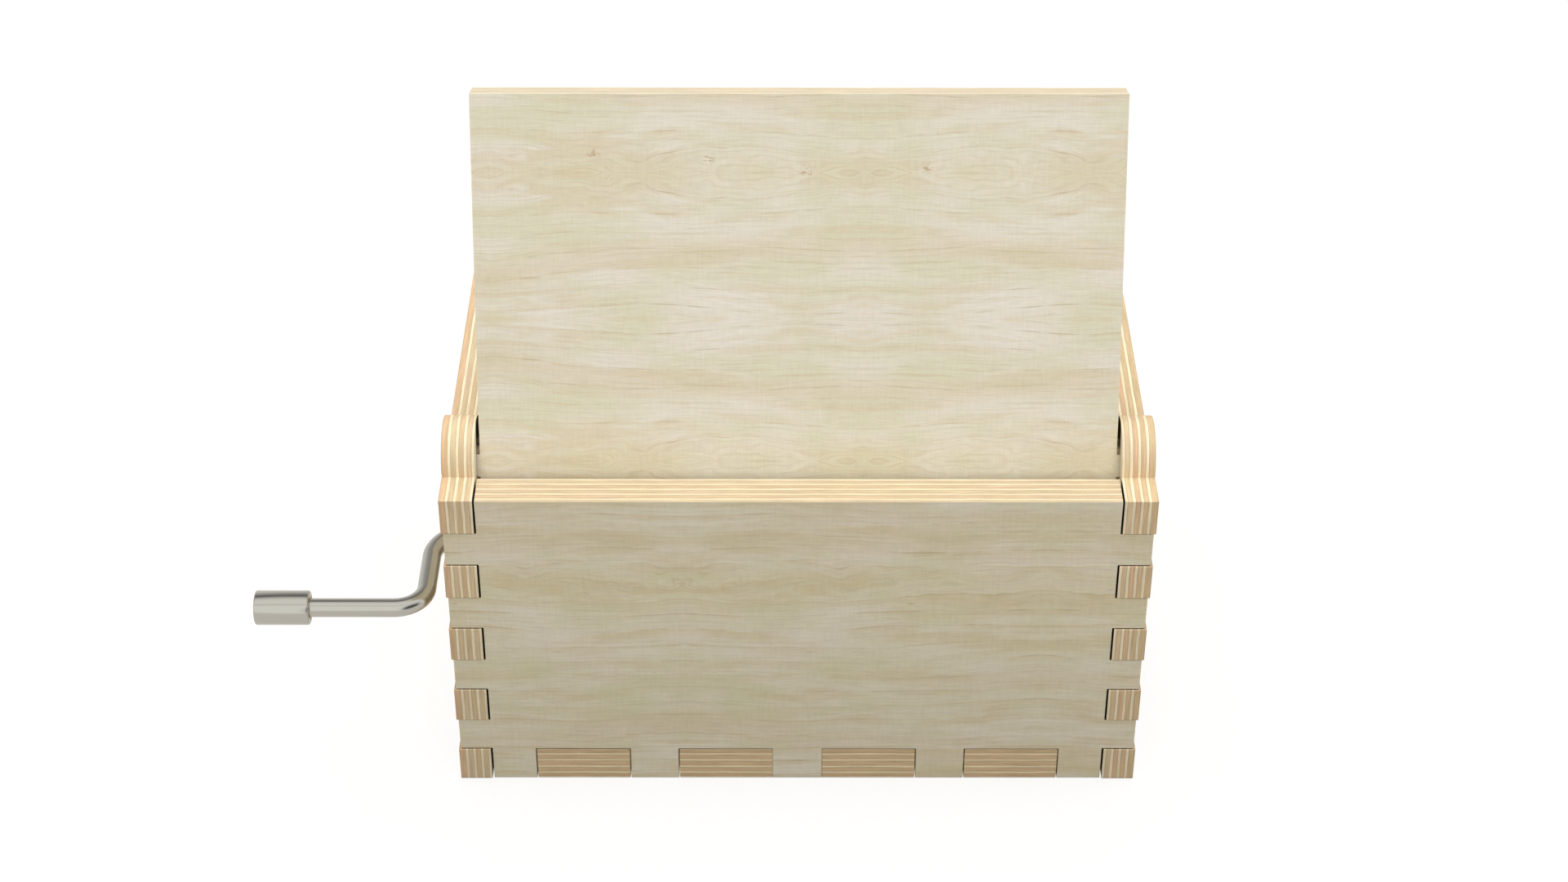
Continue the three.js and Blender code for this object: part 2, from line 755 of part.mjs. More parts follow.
// The bent wire in the crank group's own X and Y.
function crank() {
  const stations = crankStations();
  const points = stations.map(({ x, y }) => new THREE.Vector3(x, y, 0));
  const normals = stations.map(({ heading }) =>
    new THREE.Vector3(Math.sin(heading), -Math.cos(heading), 0));
  const up = stations.map(() => new THREE.Vector3(0, 0, 1));
  const section = new THREE.Shape();
  section.absarc(0, 0, wireRadius, 0, 2 * Math.PI, false);
  const path = new FramedPath(points, normals, up);
  const wire = new THREE.ExtrudeGeometry(section,
    { steps: points.length - 1, curveSegments: plainArcSteps, extrudePath: path });
  return piece('crank', solidFrom(wire), nickelSteel());
}

// The knob about +Z, its open end at z = 0 and its closed end away from the case.
function crankKnob() {
  const bore = wireRadius + knobRunningGap;
  const floor = knobLength - knobEndWall;
  return piece('crank_knob', turned([
    [0, floor],
    [bore, floor],
    [bore, 0],
    [knobRadius - knobChamfer, 0],
    [knobRadius, knobChamfer],
    [knobRadius, knobLength - knobChamfer],
    [knobRadius - knobChamfer, knobLength],
    [0, knobLength],
  ], 2 * smoothArcSteps), nickelSteel());
}

// The cylinder about +Z from z = 0, its pins set track by track on an even grid of beats.
function pinCylinder() {
  const bore = arborRadius + seatGap;
  const rim = cylinderRadius - cylinderRim;
  const hub = cylinderHubRadius;
  const end = cylinderLength;
  const barrel = turned([
    [bore, 0],
    [hub, 0],
    [hub, cylinderRecess],
    [rim, cylinderRecess],
    [rim, 0],
    [cylinderRadius, 0],
    [cylinderRadius, end],
    [rim, end],
    [rim, end - cylinderRecess],
    [hub, end - cylinderRecess],
    [hub, end],
    [bore, end],
    [bore, 0],
  ], cylinderSides);
  const pins = [];
  for (let track = 0; track < teeth; track += 1) {
    const z = cylinderEndMargin + (track + 0.5) * toothPitch;
    for (let note = 0; note < pinsPerTrack; note += 1) {
      const beat = (track * trackBeatSteps + note * noteBeatSteps + (track * note) % scatterSteps) % beats;
      const pin = new THREE.CylinderGeometry(pinRadius, pinRadius, pinHeight + pinRoot, pinSides);
      pin.rotateZ(-Math.PI / 2).translate(cylinderRadius + (pinHeight - pinRoot) / 2, 0, z);
      pins.push(solidFrom(pin.rotateZ(2 * Math.PI * (beat + 0.5) / beats)));
    }
  }
  return piece('pin_cylinder', joined([barrel, ...pins]), yellowBrass());
}

// The arbor about +Z, measured from the wheel's middle.
function cylinderArbor() {
  const rearEnd = rearLegY - shaftY;
  const rearShoulder = rearEnd + sheet + endPlay;
  const farShoulder = farBearingY - endPlay - shaftY;
  const farEnd = farBearingY + sheet - shaftY;
  return piece('cylinder_arbor', turned([
    [0, rearEnd - pivotOverhang],
    [pivotRadius, rearEnd - pivotOverhang],
    [pivotRadius, rearShoulder],
    [arborRadius, rearShoulder],
    [arborRadius, farShoulder],
    [pivotRadius, farShoulder],
    [pivotRadius, farEnd + pivotOverhang],
    [0, farEnd + pivotOverhang],
  ]), tonedSteel());
}

// Case
const musicBox = new THREE.Group();
const frontHeight = pivotZ - lidPly / 2 - lidRestGap;
const crankHole = { x: shaftY, y: shaftZ, radius: wireRadius + crankHoleClearance };
musicBox.add(sidePanel('left_side_panel', -halfWidth, [crankHole]));
musicBox.add(sidePanel('right_side_panel', innerHalfWidth, []));
musicBox.add(endPanel('rear_panel', wallHeight - faceRecess, -innerHalfDepth));
musicBox.add(endPanel('front_panel', frontHeight, halfDepth - faceRecess));
musicBox.add(floorPanel());

const lidHinge = new THREE.Group();
lidHinge.position.set(0, pivotY, pivotZ);
lidHinge.rotation.x = THREE.MathUtils.degToRad(lidOpenDegrees);
lidHinge.add(lid());
musicBox.add(lidHinge);

// Fixed parts of the movement
musicBox.add(bedplate(), combBase(), comb(), driveBracket(), arborBearing());
movementScrewPlaces().forEach((place, i) =>
  musicBox.add(movementScrew(`movement_screw_${i + 1}`, place)));
combScrews.forEach(([x, y], i) =>
  musicBox.add(screw(`comb_screw_${i + 1}`, combTop - floorPly - seatGap, [x, y, combTop])));
bracketScrews.forEach(([x, y], i) => musicBox.add(
  screw(`drive_bracket_screw_${i + 1}`, sheet + bedThickness - seatGap, [x, y, bedTop + sheet])));
bearingScrews.forEach(([x, y], i) => musicBox.add(
  screw(`arbor_bearing_screw_${i + 1}`, sheet + bedThickness - seatGap, [x, y, bedTop + sheet])));

// Cylinder, arbor and wheel turn together about Y
const cylinderGroup = new THREE.Group();
cylinderGroup.position.set(arborX, shaftY, arborZ);
cylinderGroup.rotation.x = -Math.PI / 2;
const cylinder = pinCylinder();
cylinder.position.z = cylinderStart - shaftY;
const wheel = wormWheel();
wheel.rotation.z = -Math.PI / 2;
cylinderGroup.add(cylinderArbor(), cylinder, wheel);
musicBox.add(cylinderGroup);

// Crank, shaft and worm turn together about X, with the knob loose on the handle
const crankGroup = new THREE.Group();
crankGroup.position.set(arborX, shaftY, shaftZ);
const shaftTurn = new THREE.Group();
shaftTurn.rotation.y = Math.PI / 2;
shaftTurn.add(wormShaft(), worm());
const knob = crankKnob();
knob.position.set(-halfWidth - crankStandOff - arborX - crankReach + knobLength, -crankThrow, 0);
knob.rotation.y = -Math.PI / 2;
crankGroup.add(shaftTurn, crank(), knob);
musicBox.add(crankGroup);

export default musicBox;
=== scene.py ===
import json
import math

import bmesh
import bpy
from mathutils import Matrix, Vector

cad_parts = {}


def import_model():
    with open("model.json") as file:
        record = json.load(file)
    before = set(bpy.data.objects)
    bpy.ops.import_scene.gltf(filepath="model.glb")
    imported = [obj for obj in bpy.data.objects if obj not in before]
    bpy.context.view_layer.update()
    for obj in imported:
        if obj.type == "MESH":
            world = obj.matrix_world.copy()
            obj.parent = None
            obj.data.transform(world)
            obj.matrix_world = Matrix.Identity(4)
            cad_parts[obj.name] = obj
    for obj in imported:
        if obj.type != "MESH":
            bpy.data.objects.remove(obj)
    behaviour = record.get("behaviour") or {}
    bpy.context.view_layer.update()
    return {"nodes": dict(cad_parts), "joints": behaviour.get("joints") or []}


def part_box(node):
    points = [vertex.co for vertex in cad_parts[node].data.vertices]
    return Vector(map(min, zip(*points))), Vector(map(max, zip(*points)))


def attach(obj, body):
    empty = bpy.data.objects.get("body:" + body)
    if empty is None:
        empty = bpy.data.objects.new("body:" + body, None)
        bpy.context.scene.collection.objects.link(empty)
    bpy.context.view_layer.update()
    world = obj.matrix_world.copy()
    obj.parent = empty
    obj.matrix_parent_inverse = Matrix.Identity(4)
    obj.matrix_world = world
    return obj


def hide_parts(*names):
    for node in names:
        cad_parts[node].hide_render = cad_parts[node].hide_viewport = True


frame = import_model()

MM = 0.001
X, Y, Z = Vector((1, 0, 0)), Vector((0, 1, 0)), Vector((0, 0, 1))


# ---------------------------------------------------------------- camera
# The photograph's camera, fitted to the edges of the case: metres, degrees and millimetres
CAMERA_PLACE = (-0.001667, -0.22701, 0.1896374)
CAMERA_TURN = (35.975, 0.101, 0.099)
SENSOR_WIDTH = 36
FOCAL_LENGTH = 67.07
NEAREST_SEEN = 0.01
FARTHEST_SEEN = 20


def make_camera():
    pitch, yaw, roll = (math.radians(angle) for angle in CAMERA_TURN)
    forward = Vector((math.sin(yaw) * math.cos(pitch), math.cos(yaw) * math.cos(pitch), -math.sin(pitch)))
    right = Vector((math.cos(yaw), -math.sin(yaw), 0))
    up = right.cross(forward)
    turned_right = math.cos(roll) * right + math.sin(roll) * up
    turned_up = math.cos(roll) * up - math.sin(roll) * right
    data = bpy.data.cameras.new("camera")
    data.sensor_width = SENSOR_WIDTH
    data.lens = FOCAL_LENGTH
    data.clip_start = NEAREST_SEEN
    data.clip_end = FARTHEST_SEEN
    camera = bpy.data.objects.new("camera", data)
    bpy.context.scene.collection.objects.link(camera)
    axes = Matrix((turned_right, turned_up, -forward)).transposed().to_4x4()
    camera.matrix_world = Matrix.Translation(CAMERA_PLACE) @ axes
    bpy.context.scene.camera = camera


make_camera()
bpy.context.scene.view_settings.view_transform = "Standard"


# ---------------------------------------------------------------- materials
# Painted shade in narrow joints, from ambient occlusion: how far it looks in millimetres, with how many
# rays, the open shares between which it fades, and its floor
JOINT_REACH = 0.8
JOINT_RAYS = 8
JOINT_FADE = (0.2, 0.62)
JOINT_DARK = 0.03


def srgb(*levels):
    """Linear colour from 0-255 sRGB levels."""
    channels = [level / 255 for level in levels]
    linear = [c / 12.92 if c <= 0.04045 else ((c + 0.055) / 1.055) ** 2.4 for c in channels]
    return (*linear, 1)


class Tree:
    """Builds a node tree: each call adds a node, links socket inputs and sets the others."""

    def __init__(self, tree):
        self.tree = tree
        tree.nodes.clear()

    def __call__(self, kind, inputs=None, out=0, **settings):
        node = self.tree.nodes.new(kind)
        for key, value in settings.items():
            setattr(node, key, value)
        for key, value in (inputs or {}).items():
            if isinstance(value, bpy.types.NodeSocket):
                self.tree.links.new(value, node.inputs[key])
            else:
                node.inputs[key].default_value = value
        return node.outputs[out] if node.outputs else None

    def math(self, operation, a, b=0.0, c=0.0):
        return self("ShaderNodeMath", {0: a, 1: b, 2: c}, operation=operation)

    def plus(self, a, b):
        return self.math("ADD", a, b)

    def minus(self, a, b):
        return self.math("SUBTRACT", a, b)

    def times(self, a, b):
        return self.math("MULTIPLY", a, b)

    def scaled(self, value, factor, start):
        return self.math("MULTIPLY_ADD", value, factor, start)

    def spread(self, noise, amount, middle=1.0):
        """Noise of 0 to 1, spread by the amount about a middle value."""
        return self.scaled(noise, amount, middle - amount / 2)

    def vector(self, x, y, z):
        return self("ShaderNodeCombineXYZ", {0: x, 1: y, 2: z})

    def noise(self, vector, detail, roughness=0.5):
        return self("ShaderNodeTexNoise", {
            "Vector": vector, "Scale": 1.0, "Detail": detail, "Roughness": roughness})

    def smooth(self, value, low, high, to_low=0.0, to_high=1.0):
        return self("ShaderNodeMapRange", {
            "Value": value, "From Min": low, "From Max": high, "To Min": to_low, "To Max": to_high},
            interpolation_type="SMOOTHSTEP")

    def mix(self, factor, a, b, blend="MIX"):
        return self("ShaderNodeMix", {0: factor, 6: a, 7: b}, out=2, data_type="RGBA", blend_type=blend)

    def wash(self, colour, mask, share, hue):
        """The colour with a share of another hue where the mask is 1."""
        return self.mix(self.times(mask, share), colour, hue)

    def shaded(self, colour, shade):
        """The colour times a shade or another colour."""
        return self.mix(1.0, colour, shade, "MULTIPLY")

    def ramp(self, value, stops):
        out = self("ShaderNodeValToRGB", {0: value})
        ramp = out.node.color_ramp
        while len(ramp.elements) < len(stops):
            ramp.elements.new(0.5)
        for element, (position, colour) in zip(ramp.elements, stops):
            element.position = position
            element.color = colour
        return out

    def bump(self, height, strength, depth):
        """A normal from a height, whose full depth is given in millimetres."""
        return self("ShaderNodeBump", {"Strength": strength, "Distance": depth * MM, "Height": height})

    def painted_joint_shade(self):
        """Painted shade in narrow joints: 1 on open faces, and less as another face comes near."""
        openness = self("ShaderNodeAmbientOcclusion", {"Distance": JOINT_REACH * MM}, out=1,
                        samples=JOINT_RAYS)
        return self.smooth(openness, *JOINT_FADE, JOINT_DARK, 1.0)

    def surface(self, shader):
        self("ShaderNodeOutputMaterial", {"Surface": shader})


def new_material(name):
    material = bpy.data.materials.new(name)
    material.use_nodes = True
    return material, Tree(material.node_tree)


def local_mm(t):
    """Object coordinates in millimetres, as three sockets."""
    coordinates = t("ShaderNodeTexCoord", out=3)
    scaled = t("ShaderNodeVectorMath", {0: coordinates, "Scale": 1 / MM}, operation="SCALE")
    split = t("ShaderNodeSeparateXYZ", {0: scaled})
    return split.node.outputs


# ---------------------------------------------------------------- veneer
# The sheets' size between mirror lines along and across the grain, and a mirror line no wall reaches
SHEET = (33.0, 60.0)
MID_SHEET = -30.0
# The height over which painted shade darkens a panel towards its foot
FALL_LENGTH = 22.0
# Noises: frequency per millimetre along and across the grain, seed offset, detail and roughness
VENEER_NOISES = {
    "bend": (0.038, 0.09, 0.0, 1, 0.5),
    "eddy": (0.17, 0.42, 2.3, 2, 0.5),
    "cloud": (0.13, 0.3, 4.1, 3, 0.5),
    "band": (0.024, 0.22, 7.7, 3, 0.5),
    "patch": (0.07, 0.5, 19.1, 2, 0.5),
    "blush": (0.06, 0.46, 29.7, 3, 0.55),
    "stroke": (0.16, 0.9, 23.3, 3, 0.65),
    "thread": (0.14, 3.2, 11.3, 3, 0.7),
    "fibre": (0.5, 5.2, 13.9, 2, 0.6),
    "dash": (0.5, 3.8, 17.9, 2, 0.5),
    "weft": (4.4, 0.6, 31.0, 2, 0.5),
    "warp": (0.7, 5.4, 37.0, 2, 0.5),
    "swirl": (2.2, 5.0, 0.0, 2, 0.5),
}
# The noise values between which each feature fades in
WARM_FADE = (0.5, 0.68)
BLUSH_FADE = (0.84, 1.06)
GLOW_FADE = (0.46, 0.66)
THREAD_FADE = (0.48, 0.72)
LINE_FADE = (0.46, 0.76)
CALM_FADE = (0.6, 0.38)
DASH_FADE = (0.69, 0.79)
DASH_PATCH = (0.46, 0.6)
# The grain's bends and eddies in millimetres, where its waver is 1
BEND_DEPTH = 8.0
EDDY_DEPTH = 0.7
# Millimetres from the flame line: between which the curl comes in, and where the heart's colour starts
FLAME_SIDES = (3.6, 0.6)
HEART_HALF = 2.6
# Growth rings: rings per millimetre, offset, and the share of a ring that its line takes
RINGS = (0.56, 0.0, 0.03)
FINE_RINGS = (1.9, 0.4, 0.1)
# How far through a ring its glow starts and is full, and where the glow and the line start to fade
RING_GLOW = (0.3, 0.93)
RING_END = 0.97
# The ground's colours over the cloud noise, and the washes over it: share and colour
GROUND = [(0.36, srgb(221, 214, 184)), (0.5, srgb(227, 218, 195)), (0.64, srgb(231, 221, 203))]
WARM_WASH = (0.6, srgb(220, 203, 172))
BLUSH_WASH = (0.62, srgb(217, 200, 163))
GLOW_WASH = (0.45, srgb(214, 196, 157))
FINE_LINE_WASH = (0.36, srgb(200, 174, 128))
LINE_WASH = (0.6, srgb(178, 154, 108))
DASH_WASH = (0.5, srgb(172, 148, 100))
HEART_COLOUR = srgb(217, 203, 160)
THREAD_COLOUR = srgb(206, 189, 148)
THREAD_SHARE = 0.32
WARM_THREADS = 0.2
STROKE_IN_BLUSH = 0.7
FINE_LINES = 0.5
FINE_LINES_BESIDE = 0.3
# How far fibres, weft and warp vary the lightness
FIBRE_SHADE = 0.16
WEFT_SHADE = 0.11
WARP_SHADE = 0.12
# Knots: what a step along the grain counts against one across, how ragged they are, share and colour
KNOT_STRETCH = 0.45
KNOT_RAGGED = 1.4
KNOT_SHARE = 0.6
KNOT_COLOUR = srgb(184, 144, 80)
# The veneer's surface: relief of fibres and threads, bump strength and depth, and roughness
FIBRE_RELIEF = 0.7
THREAD_RELIEF = -0.4
VENEER_BUMP = (0.12, 0.05)
VENEER_ROUGHNESS = 0.54
FIBRE_ROUGHNESS = 0.16
VENEER_GLOSS = 0.3


def grain_noise(t, kind, place, seed):
    """One of the veneer's noises at a place of two sockets, along and across the grain."""
    along, across, offset, detail, roughness = VENEER_NOISES[kind]
    stretched = t.vector(t.times(place[0], along), t.times(place[1], across), seed + offset)
    return t.noise(stretched, detail, roughness)


def grain_course(t, place, seed, beside, waver, curl):
    """The grain's own coordinate across it in millimetres: it wavers, and curls beside the flame line."""
    bend = t.spread(grain_noise(t, "bend", place, seed), BEND_DEPTH * waver, 0.0)
    eddy = t.spread(grain_noise(t, "eddy", place, seed), 1.0, 0.0)
    eddy = t.times(eddy, t.scaled(beside, curl, EDDY_DEPTH * waver))
    return t.plus(place[1], t.plus(bend, eddy))


def growth_rings(t, course, frequency, start, width):
    """Two masks: how far each place is through its ring, and the thin line at the ring's end."""
    ring = t.math("FRACT", t.scaled(course, frequency, start))
    risen = t.smooth(ring, RING_END - 2 * width, RING_END - width)
    return ring, t.times(risen, t.smooth(ring, 1.0, RING_END))


def grain_colour(t, cloud, grain, seed, beside, heart):
    """The ground with its warm bands, heart, streaks, growth rings, threads and dashes."""
    band, patch, blush, stroke, thread, dash = (
        grain_noise(t, kind, grain, seed) for kind in ("band", "patch", "blush", "stroke", "thread", "dash"))
    ring, line = growth_rings(t, grain[1], *RINGS)
    glow = t.times(t.smooth(ring, *RING_GLOW), t.smooth(ring, 1.0, RING_END))
    glow = t.times(glow, t.smooth(patch, *GLOW_FADE))
    line = t.times(line, t.smooth(stroke, *LINE_FADE))
    fine_line = growth_rings(t, grain[1], *FINE_RINGS)[1]
    calm = t.smooth(stroke, *CALM_FADE, 0.0, FINE_LINES)
    fine_line = t.times(fine_line, t.scaled(beside, FINE_LINES_BESIDE, calm))
    warm = t.smooth(band, *WARM_FADE)
    streaky = t.smooth(t.scaled(stroke, STROKE_IN_BLUSH, blush), *BLUSH_FADE)
    streak = t.times(t.smooth(dash, *DASH_FADE), t.smooth(patch, *DASH_PATCH))

    colour = t.ramp(cloud, GROUND)
    colour = t.wash(colour, warm, *WARM_WASH)
    colour = t.wash(colour, streaky, *BLUSH_WASH)
    colour = t.mix(heart, colour, HEART_COLOUR)
    colour = t.wash(colour, glow, *GLOW_WASH)
    thread_share = t.scaled(warm, WARM_THREADS, THREAD_SHARE)
    colour = t.wash(colour, t.smooth(thread, *THREAD_FADE), thread_share, THREAD_COLOUR)
    colour = t.wash(colour, fine_line, *FINE_LINE_WASH)
    colour = t.wash(colour, line, *LINE_WASH)
    colour = t.wash(colour, streak, *DASH_WASH)
    return colour, thread


def with_knot(t, colour, place, seed, knot):
    """The colour with one ragged brown knot, given as its place on local X and Y and its size."""
    knot_x, knot_y, size = knot
    along = t.times(t.minus(place[0], knot_x), KNOT_STRETCH)
    across = t.minus(place[1], knot_y)
    distance = t.math("SQRT", t.plus(t.times(along, along), t.times(across, across)))
    ragged = t.plus(distance, t.spread(grain_noise(t, "swirl", place, seed), KNOT_RAGGED, 0.0))
    return t.mix(t.smooth(ragged, size, 0.0, 0.0, KNOT_SHARE), colour, KNOT_COLOUR)


def painted_foot_shade(t, height, fall):
    """Painted shade: the share fall[1] below the height fall[0], rising to 1 over the fall's length above
    it.
    """
    return t.smooth(height, fall[0], fall[0] + FALL_LENGTH, fall[1], 1.0)


def veneer(name, seed, mirror, sheet=SHEET, flame=32.0, waver=0.45, curl=3.6, heart=0.15, tone=(1, 1, 1),
           fall=(0, 1), knots=()):
    """Pale maple face veneer: grain along local X, book matched about the mirror lines.

    The sheet's size is the distance between mirror lines; flame is where across it the grain curls.
    Waver and curl say how much the grain bends, and heart how much of the heart's colour it shows there.
    The wood is toned, and below fall[0] on local Y painted shade leaves it the share fall[1] of its
    lightness."""
    material, t = new_material(name)
    place = local_mm(t)[:2]
    matched = [t.math("PINGPONG", t.minus(value, line), size)
               for value, line, size in zip(place, mirror, sheet)]
    from_flame = t.math("ABSOLUTE", t.minus(matched[1], flame))
    beside = t.smooth(from_flame, *FLAME_SIDES)
    heart_share = t.smooth(from_flame, HEART_HALF, 0.0, 0.0, heart)
    grain = (matched[0], grain_course(t, matched, seed, beside, waver, curl))
    cloud = grain_noise(t, "cloud", matched, seed)
    fibre = grain_noise(t, "fibre", grain, seed)
    weft = grain_noise(t, "weft", place, seed)
    warp = grain_noise(t, "warp", place, seed)

    colour, thread = grain_colour(t, cloud, grain, seed, beside, heart_share)
    shade = t.times(t.spread(fibre, FIBRE_SHADE), t.spread(weft, WEFT_SHADE))
    shade = t.times(shade, t.spread(warp, WARP_SHADE))
    # Painted shade towards the panel's foot
    shade = t.times(shade, painted_foot_shade(t, place[1], fall))
    colour = t.shaded(colour, shade)
    colour = t.shaded(colour, (*tone, 1))
    # Painted shade in narrow joints
    colour = t.shaded(colour, t.painted_joint_shade())
    for knot in knots:
        colour = with_knot(t, colour, place, seed, knot)

    relief = t.scaled(fibre, FIBRE_RELIEF, t.times(thread, THREAD_RELIEF))
    t.surface(t("ShaderNodeBsdfPrincipled", {
        "Base Color": colour, "Roughness": t.spread(fibre, FIBRE_ROUGHNESS, VENEER_ROUGHNESS),
        "Normal": t.bump(relief, *VENEER_BUMP), "Specular IOR Level": VENEER_GLOSS}))
    return material


# ---------------------------------------------------------------- cut edges of the plywood
TAN = srgb(221, 196, 160)
TAN_RED = srgb(222, 188, 151)
TAN_DEEP = srgb(218, 190, 151)
CREAM = srgb(243, 226, 193)
CREAM_PALE = srgb(246, 230, 199)
END_TAN = srgb(216, 193, 159)
END_PINK = srgb(217, 191, 157)
END_CREAM = srgb(236, 218, 187)
LID_TAN = srgb(215, 193, 163)
LID_CREAM = srgb(219, 203, 175)
LID_PALE = srgb(226, 213, 188)
FLOOR_TAN = srgb(209, 181, 144)
FLOOR_DEEP = srgb(203, 174, 137)
FLOOR_CREAM = srgb(232, 212, 176)
# Glue lines in the tan plies: width in millimetres and lightness; pale plies and the thinnest show none
GLUE_WIDTH = 0.07
GLUE_SHADE = 0.78
UNLINED = (CREAM, CREAM_PALE, END_CREAM, FLOOR_CREAM, LID_CREAM, LID_PALE)
THINNEST_LINED = 5 * GLUE_WIDTH
# The share of the thickness over which a ply blends into the next, and how far its line drifts
PLY_BLEND = 0.012
PLY_DRIFT = 0.03
# Noises: frequency per millimetre in the sheet's plane and through it, seed offset, detail and roughness
EDGE_NOISES = {
    "drift": (0.35, 0.0, 0, 2, 0.5),
    "lines": (0.25, 4.2, 0, 3, 0.7),
    "hue": (0.2, 1.7, 9, 2, 0.5),
    "specks": (3.5, 5.0, 5, 3, 0.5),
}
HUE_FADE = (0.35, 0.65)
GREENER = (0.98, 1.0, 0.96, 1)
LINE_SHADE = 0.7
SPECK_SHADE = 0.14
EDGE_BUMP = (0.2, 0.06)
EDGE_ROUGHNESS = 0.6
EDGE_GLOSS = 0.25


def edge_noise(t, kind, place, seed):
    """One of the cut edge's noises at a place of three sockets."""
    in_plane, through, offset, detail, roughness = EDGE_NOISES[kind]
    x, y, z = place
    stretched = t.vector(t.times(x, in_plane), t.times(y, in_plane), t.scaled(z, through, seed + offset))
    return t.noise(stretched, detail, roughness)


def darker(colour, share):
    return (*(channel * share for channel in colour[:3]), 1)


def ply_stops(layers):
    """Colour ramp stops for the plies, given as widths and colours from the inner face outwards."""
    total = sum(width for width, _ in layers)
    stops = []
    at = 0.0
    for width, colour in layers:
        end = at + width - PLY_BLEND * total
        if colour in UNLINED or width < THINNEST_LINED:
            stops += [(at, colour), (end, colour)]
        else:
            glue = darker(colour, GLUE_SHADE)
            stops += [(at, glue), (at + GLUE_WIDTH, colour), (end - GLUE_WIDTH, colour), (end, glue)]
        at += width
    return [(place / total, colour) for place, colour in stops]


def ply_edge(name, thickness, layers, seed, fall):
    """The cut edge: plies through local Z, with glue lines, fine lines and specks."""
    material, t = new_material(name)
    place = tuple(local_mm(t))
    drift, lines, hue, specks = (edge_noise(t, kind, place, seed) for kind in EDGE_NOISES)
    depth = t.plus(t.scaled(place[2], 1 / thickness, 0.5), t.spread(drift, PLY_DRIFT, 0.0))
    colour = t.ramp(depth, ply_stops(layers))
    colour = t.mix(t.smooth(hue, *HUE_FADE), colour, t.shaded(colour, GREENER))
    shade = t.times(t.spread(lines, LINE_SHADE), t.spread(specks, SPECK_SHADE))
    # Painted shade towards the panel's foot
    shade = t.times(shade, painted_foot_shade(t, place[1], fall))
    # Painted shade in narrow joints
    colour = t.shaded(colour, t.times(shade, t.painted_joint_shade()))
    t.surface(t("ShaderNodeBsdfPrincipled", {
        "Base Color": colour, "Roughness": EDGE_ROUGHNESS, "Normal": t.bump(lines, *EDGE_BUMP),
        "Specular IOR Level": EDGE_GLOSS}))
    return material


# ---------------------------------------------------------------- metals
# The working marks: detail and roughness of their noise, and their depth in millimetres
MARKS_DETAIL = 4
MARKS_ROUGHNESS = 0.6
MARKS_DEPTH = 0.02
# The slow cloudiness: frequency per millimetre, detail, and the values between which the tint fades in
CLOUDINESS = 0.6
CLOUDINESS_DETAIL = 3
TINT_FADE = (0.45, 0.75)
# How far the marks and the cloudiness vary the gloss
GLOSS_BY_MARKS = 0.14
GLOSS_BY_CLOUD = 0.08


def metal(name, colour, roughness, marks_per_mm, bump, variation, tint_share=0.0, tint=None):
    """A metal with fine working marks, their frequency given along X, Y and Z, and a cloudy tint."""
    material, t = new_material(name)
    place = tuple(local_mm(t))
    marks = t.noise(t.vector(*(t.times(value, count) for value, count in zip(place, marks_per_mm))),
                    MARKS_DETAIL, MARKS_ROUGHNESS)
    cloud = t.noise(t.vector(*(t.times(value, CLOUDINESS) for value in place)), CLOUDINESS_DETAIL)
    hue = t.shaded(colour, t.spread(marks, variation))
    if tint:
        hue = t.mix(t.smooth(cloud, *TINT_FADE, 0.0, tint_share), hue, tint)
    rough = t.plus(t.spread(marks, GLOSS_BY_MARKS, roughness), t.spread(cloud, GLOSS_BY_CLOUD, 0.0))
    t.surface(t("ShaderNodeBsdfPrincipled", {
        "Base Color": hue, "Metallic": 1.0, "Roughness": rough,
        "Normal": t.bump(marks, bump, MARKS_DEPTH)}))
    return material


NICKEL = srgb(202, 199, 189)
nickel_wire = metal("satin_nickel_wire", NICKEL, roughness=0.19, marks_per_mm=(0.4, 9.0, 9.0),
                    bump=0.06, variation=0.06)
nickel_turned = metal("satin_nickel_turned", NICKEL, roughness=0.18, marks_per_mm=(14.0, 0.4, 0.4),
                      bump=0.08, variation=0.07)
nickel_sheet = metal("plated_sheet", srgb(196, 194, 188), roughness=0.3, marks_per_mm=(1.2, 1.2, 6.0),
                     bump=0.08, variation=0.08)
nickel_screw = metal("plated_screw", srgb(188, 186, 180), roughness=0.26, marks_per_mm=(3.0, 3.0, 3.0),
                     bump=0.06, variation=0.1)
brass_turned = metal("turned_brass", srgb(212, 176, 104), roughness=0.24, marks_per_mm=(0.6, 10.0, 0.6),
                     bump=0.08, variation=0.1, tint_share=0.25, tint=srgb(186, 142, 78))
brass_worm = metal("cut_brass", srgb(214, 180, 110), roughness=0.26, marks_per_mm=(3.0, 3.0, 3.0),
                   bump=0.06, variation=0.08, tint_share=0.2, tint=srgb(190, 148, 84))
brass_bar = metal("drawn_brass", srgb(206, 172, 104), roughness=0.32, marks_per_mm=(0.8, 8.0, 8.0),
                  bump=0.1, variation=0.12, tint_share=0.2, tint=srgb(180, 140, 82))
pin_steel = metal("pin_steel", srgb(196, 194, 190), roughness=0.3, marks_per_mm=(4.0, 4.0, 4.0),
                  bump=0.05, variation=0.08)
comb_steel = metal("ground_comb_steel", srgb(200, 201, 203), roughness=0.3, marks_per_mm=(9.0, 0.5, 0.5),
                   bump=0.12, variation=0.16, tint_share=0.12, tint=srgb(176, 172, 164))
arbor_steel = metal("arbor_steel", srgb(192, 193, 195), roughness=0.25, marks_per_mm=(0.5, 12.0, 0.5),
                    bump=0.06, variation=0.08)
cast_zinc = metal("cast_zinc", srgb(190, 191, 190), roughness=0.42, marks_per_mm=(2.6, 2.6, 2.6),
                  bump=0.22, variation=0.14, tint_share=0.3, tint=srgb(168, 169, 168))


# ---------------------------------------------------------------- mesh helpers
# Vertices this near are one, and faces this near to flat are one face
SAME_PLACE = 0.0001 * MM
FLAT_ANGLE = 0.5
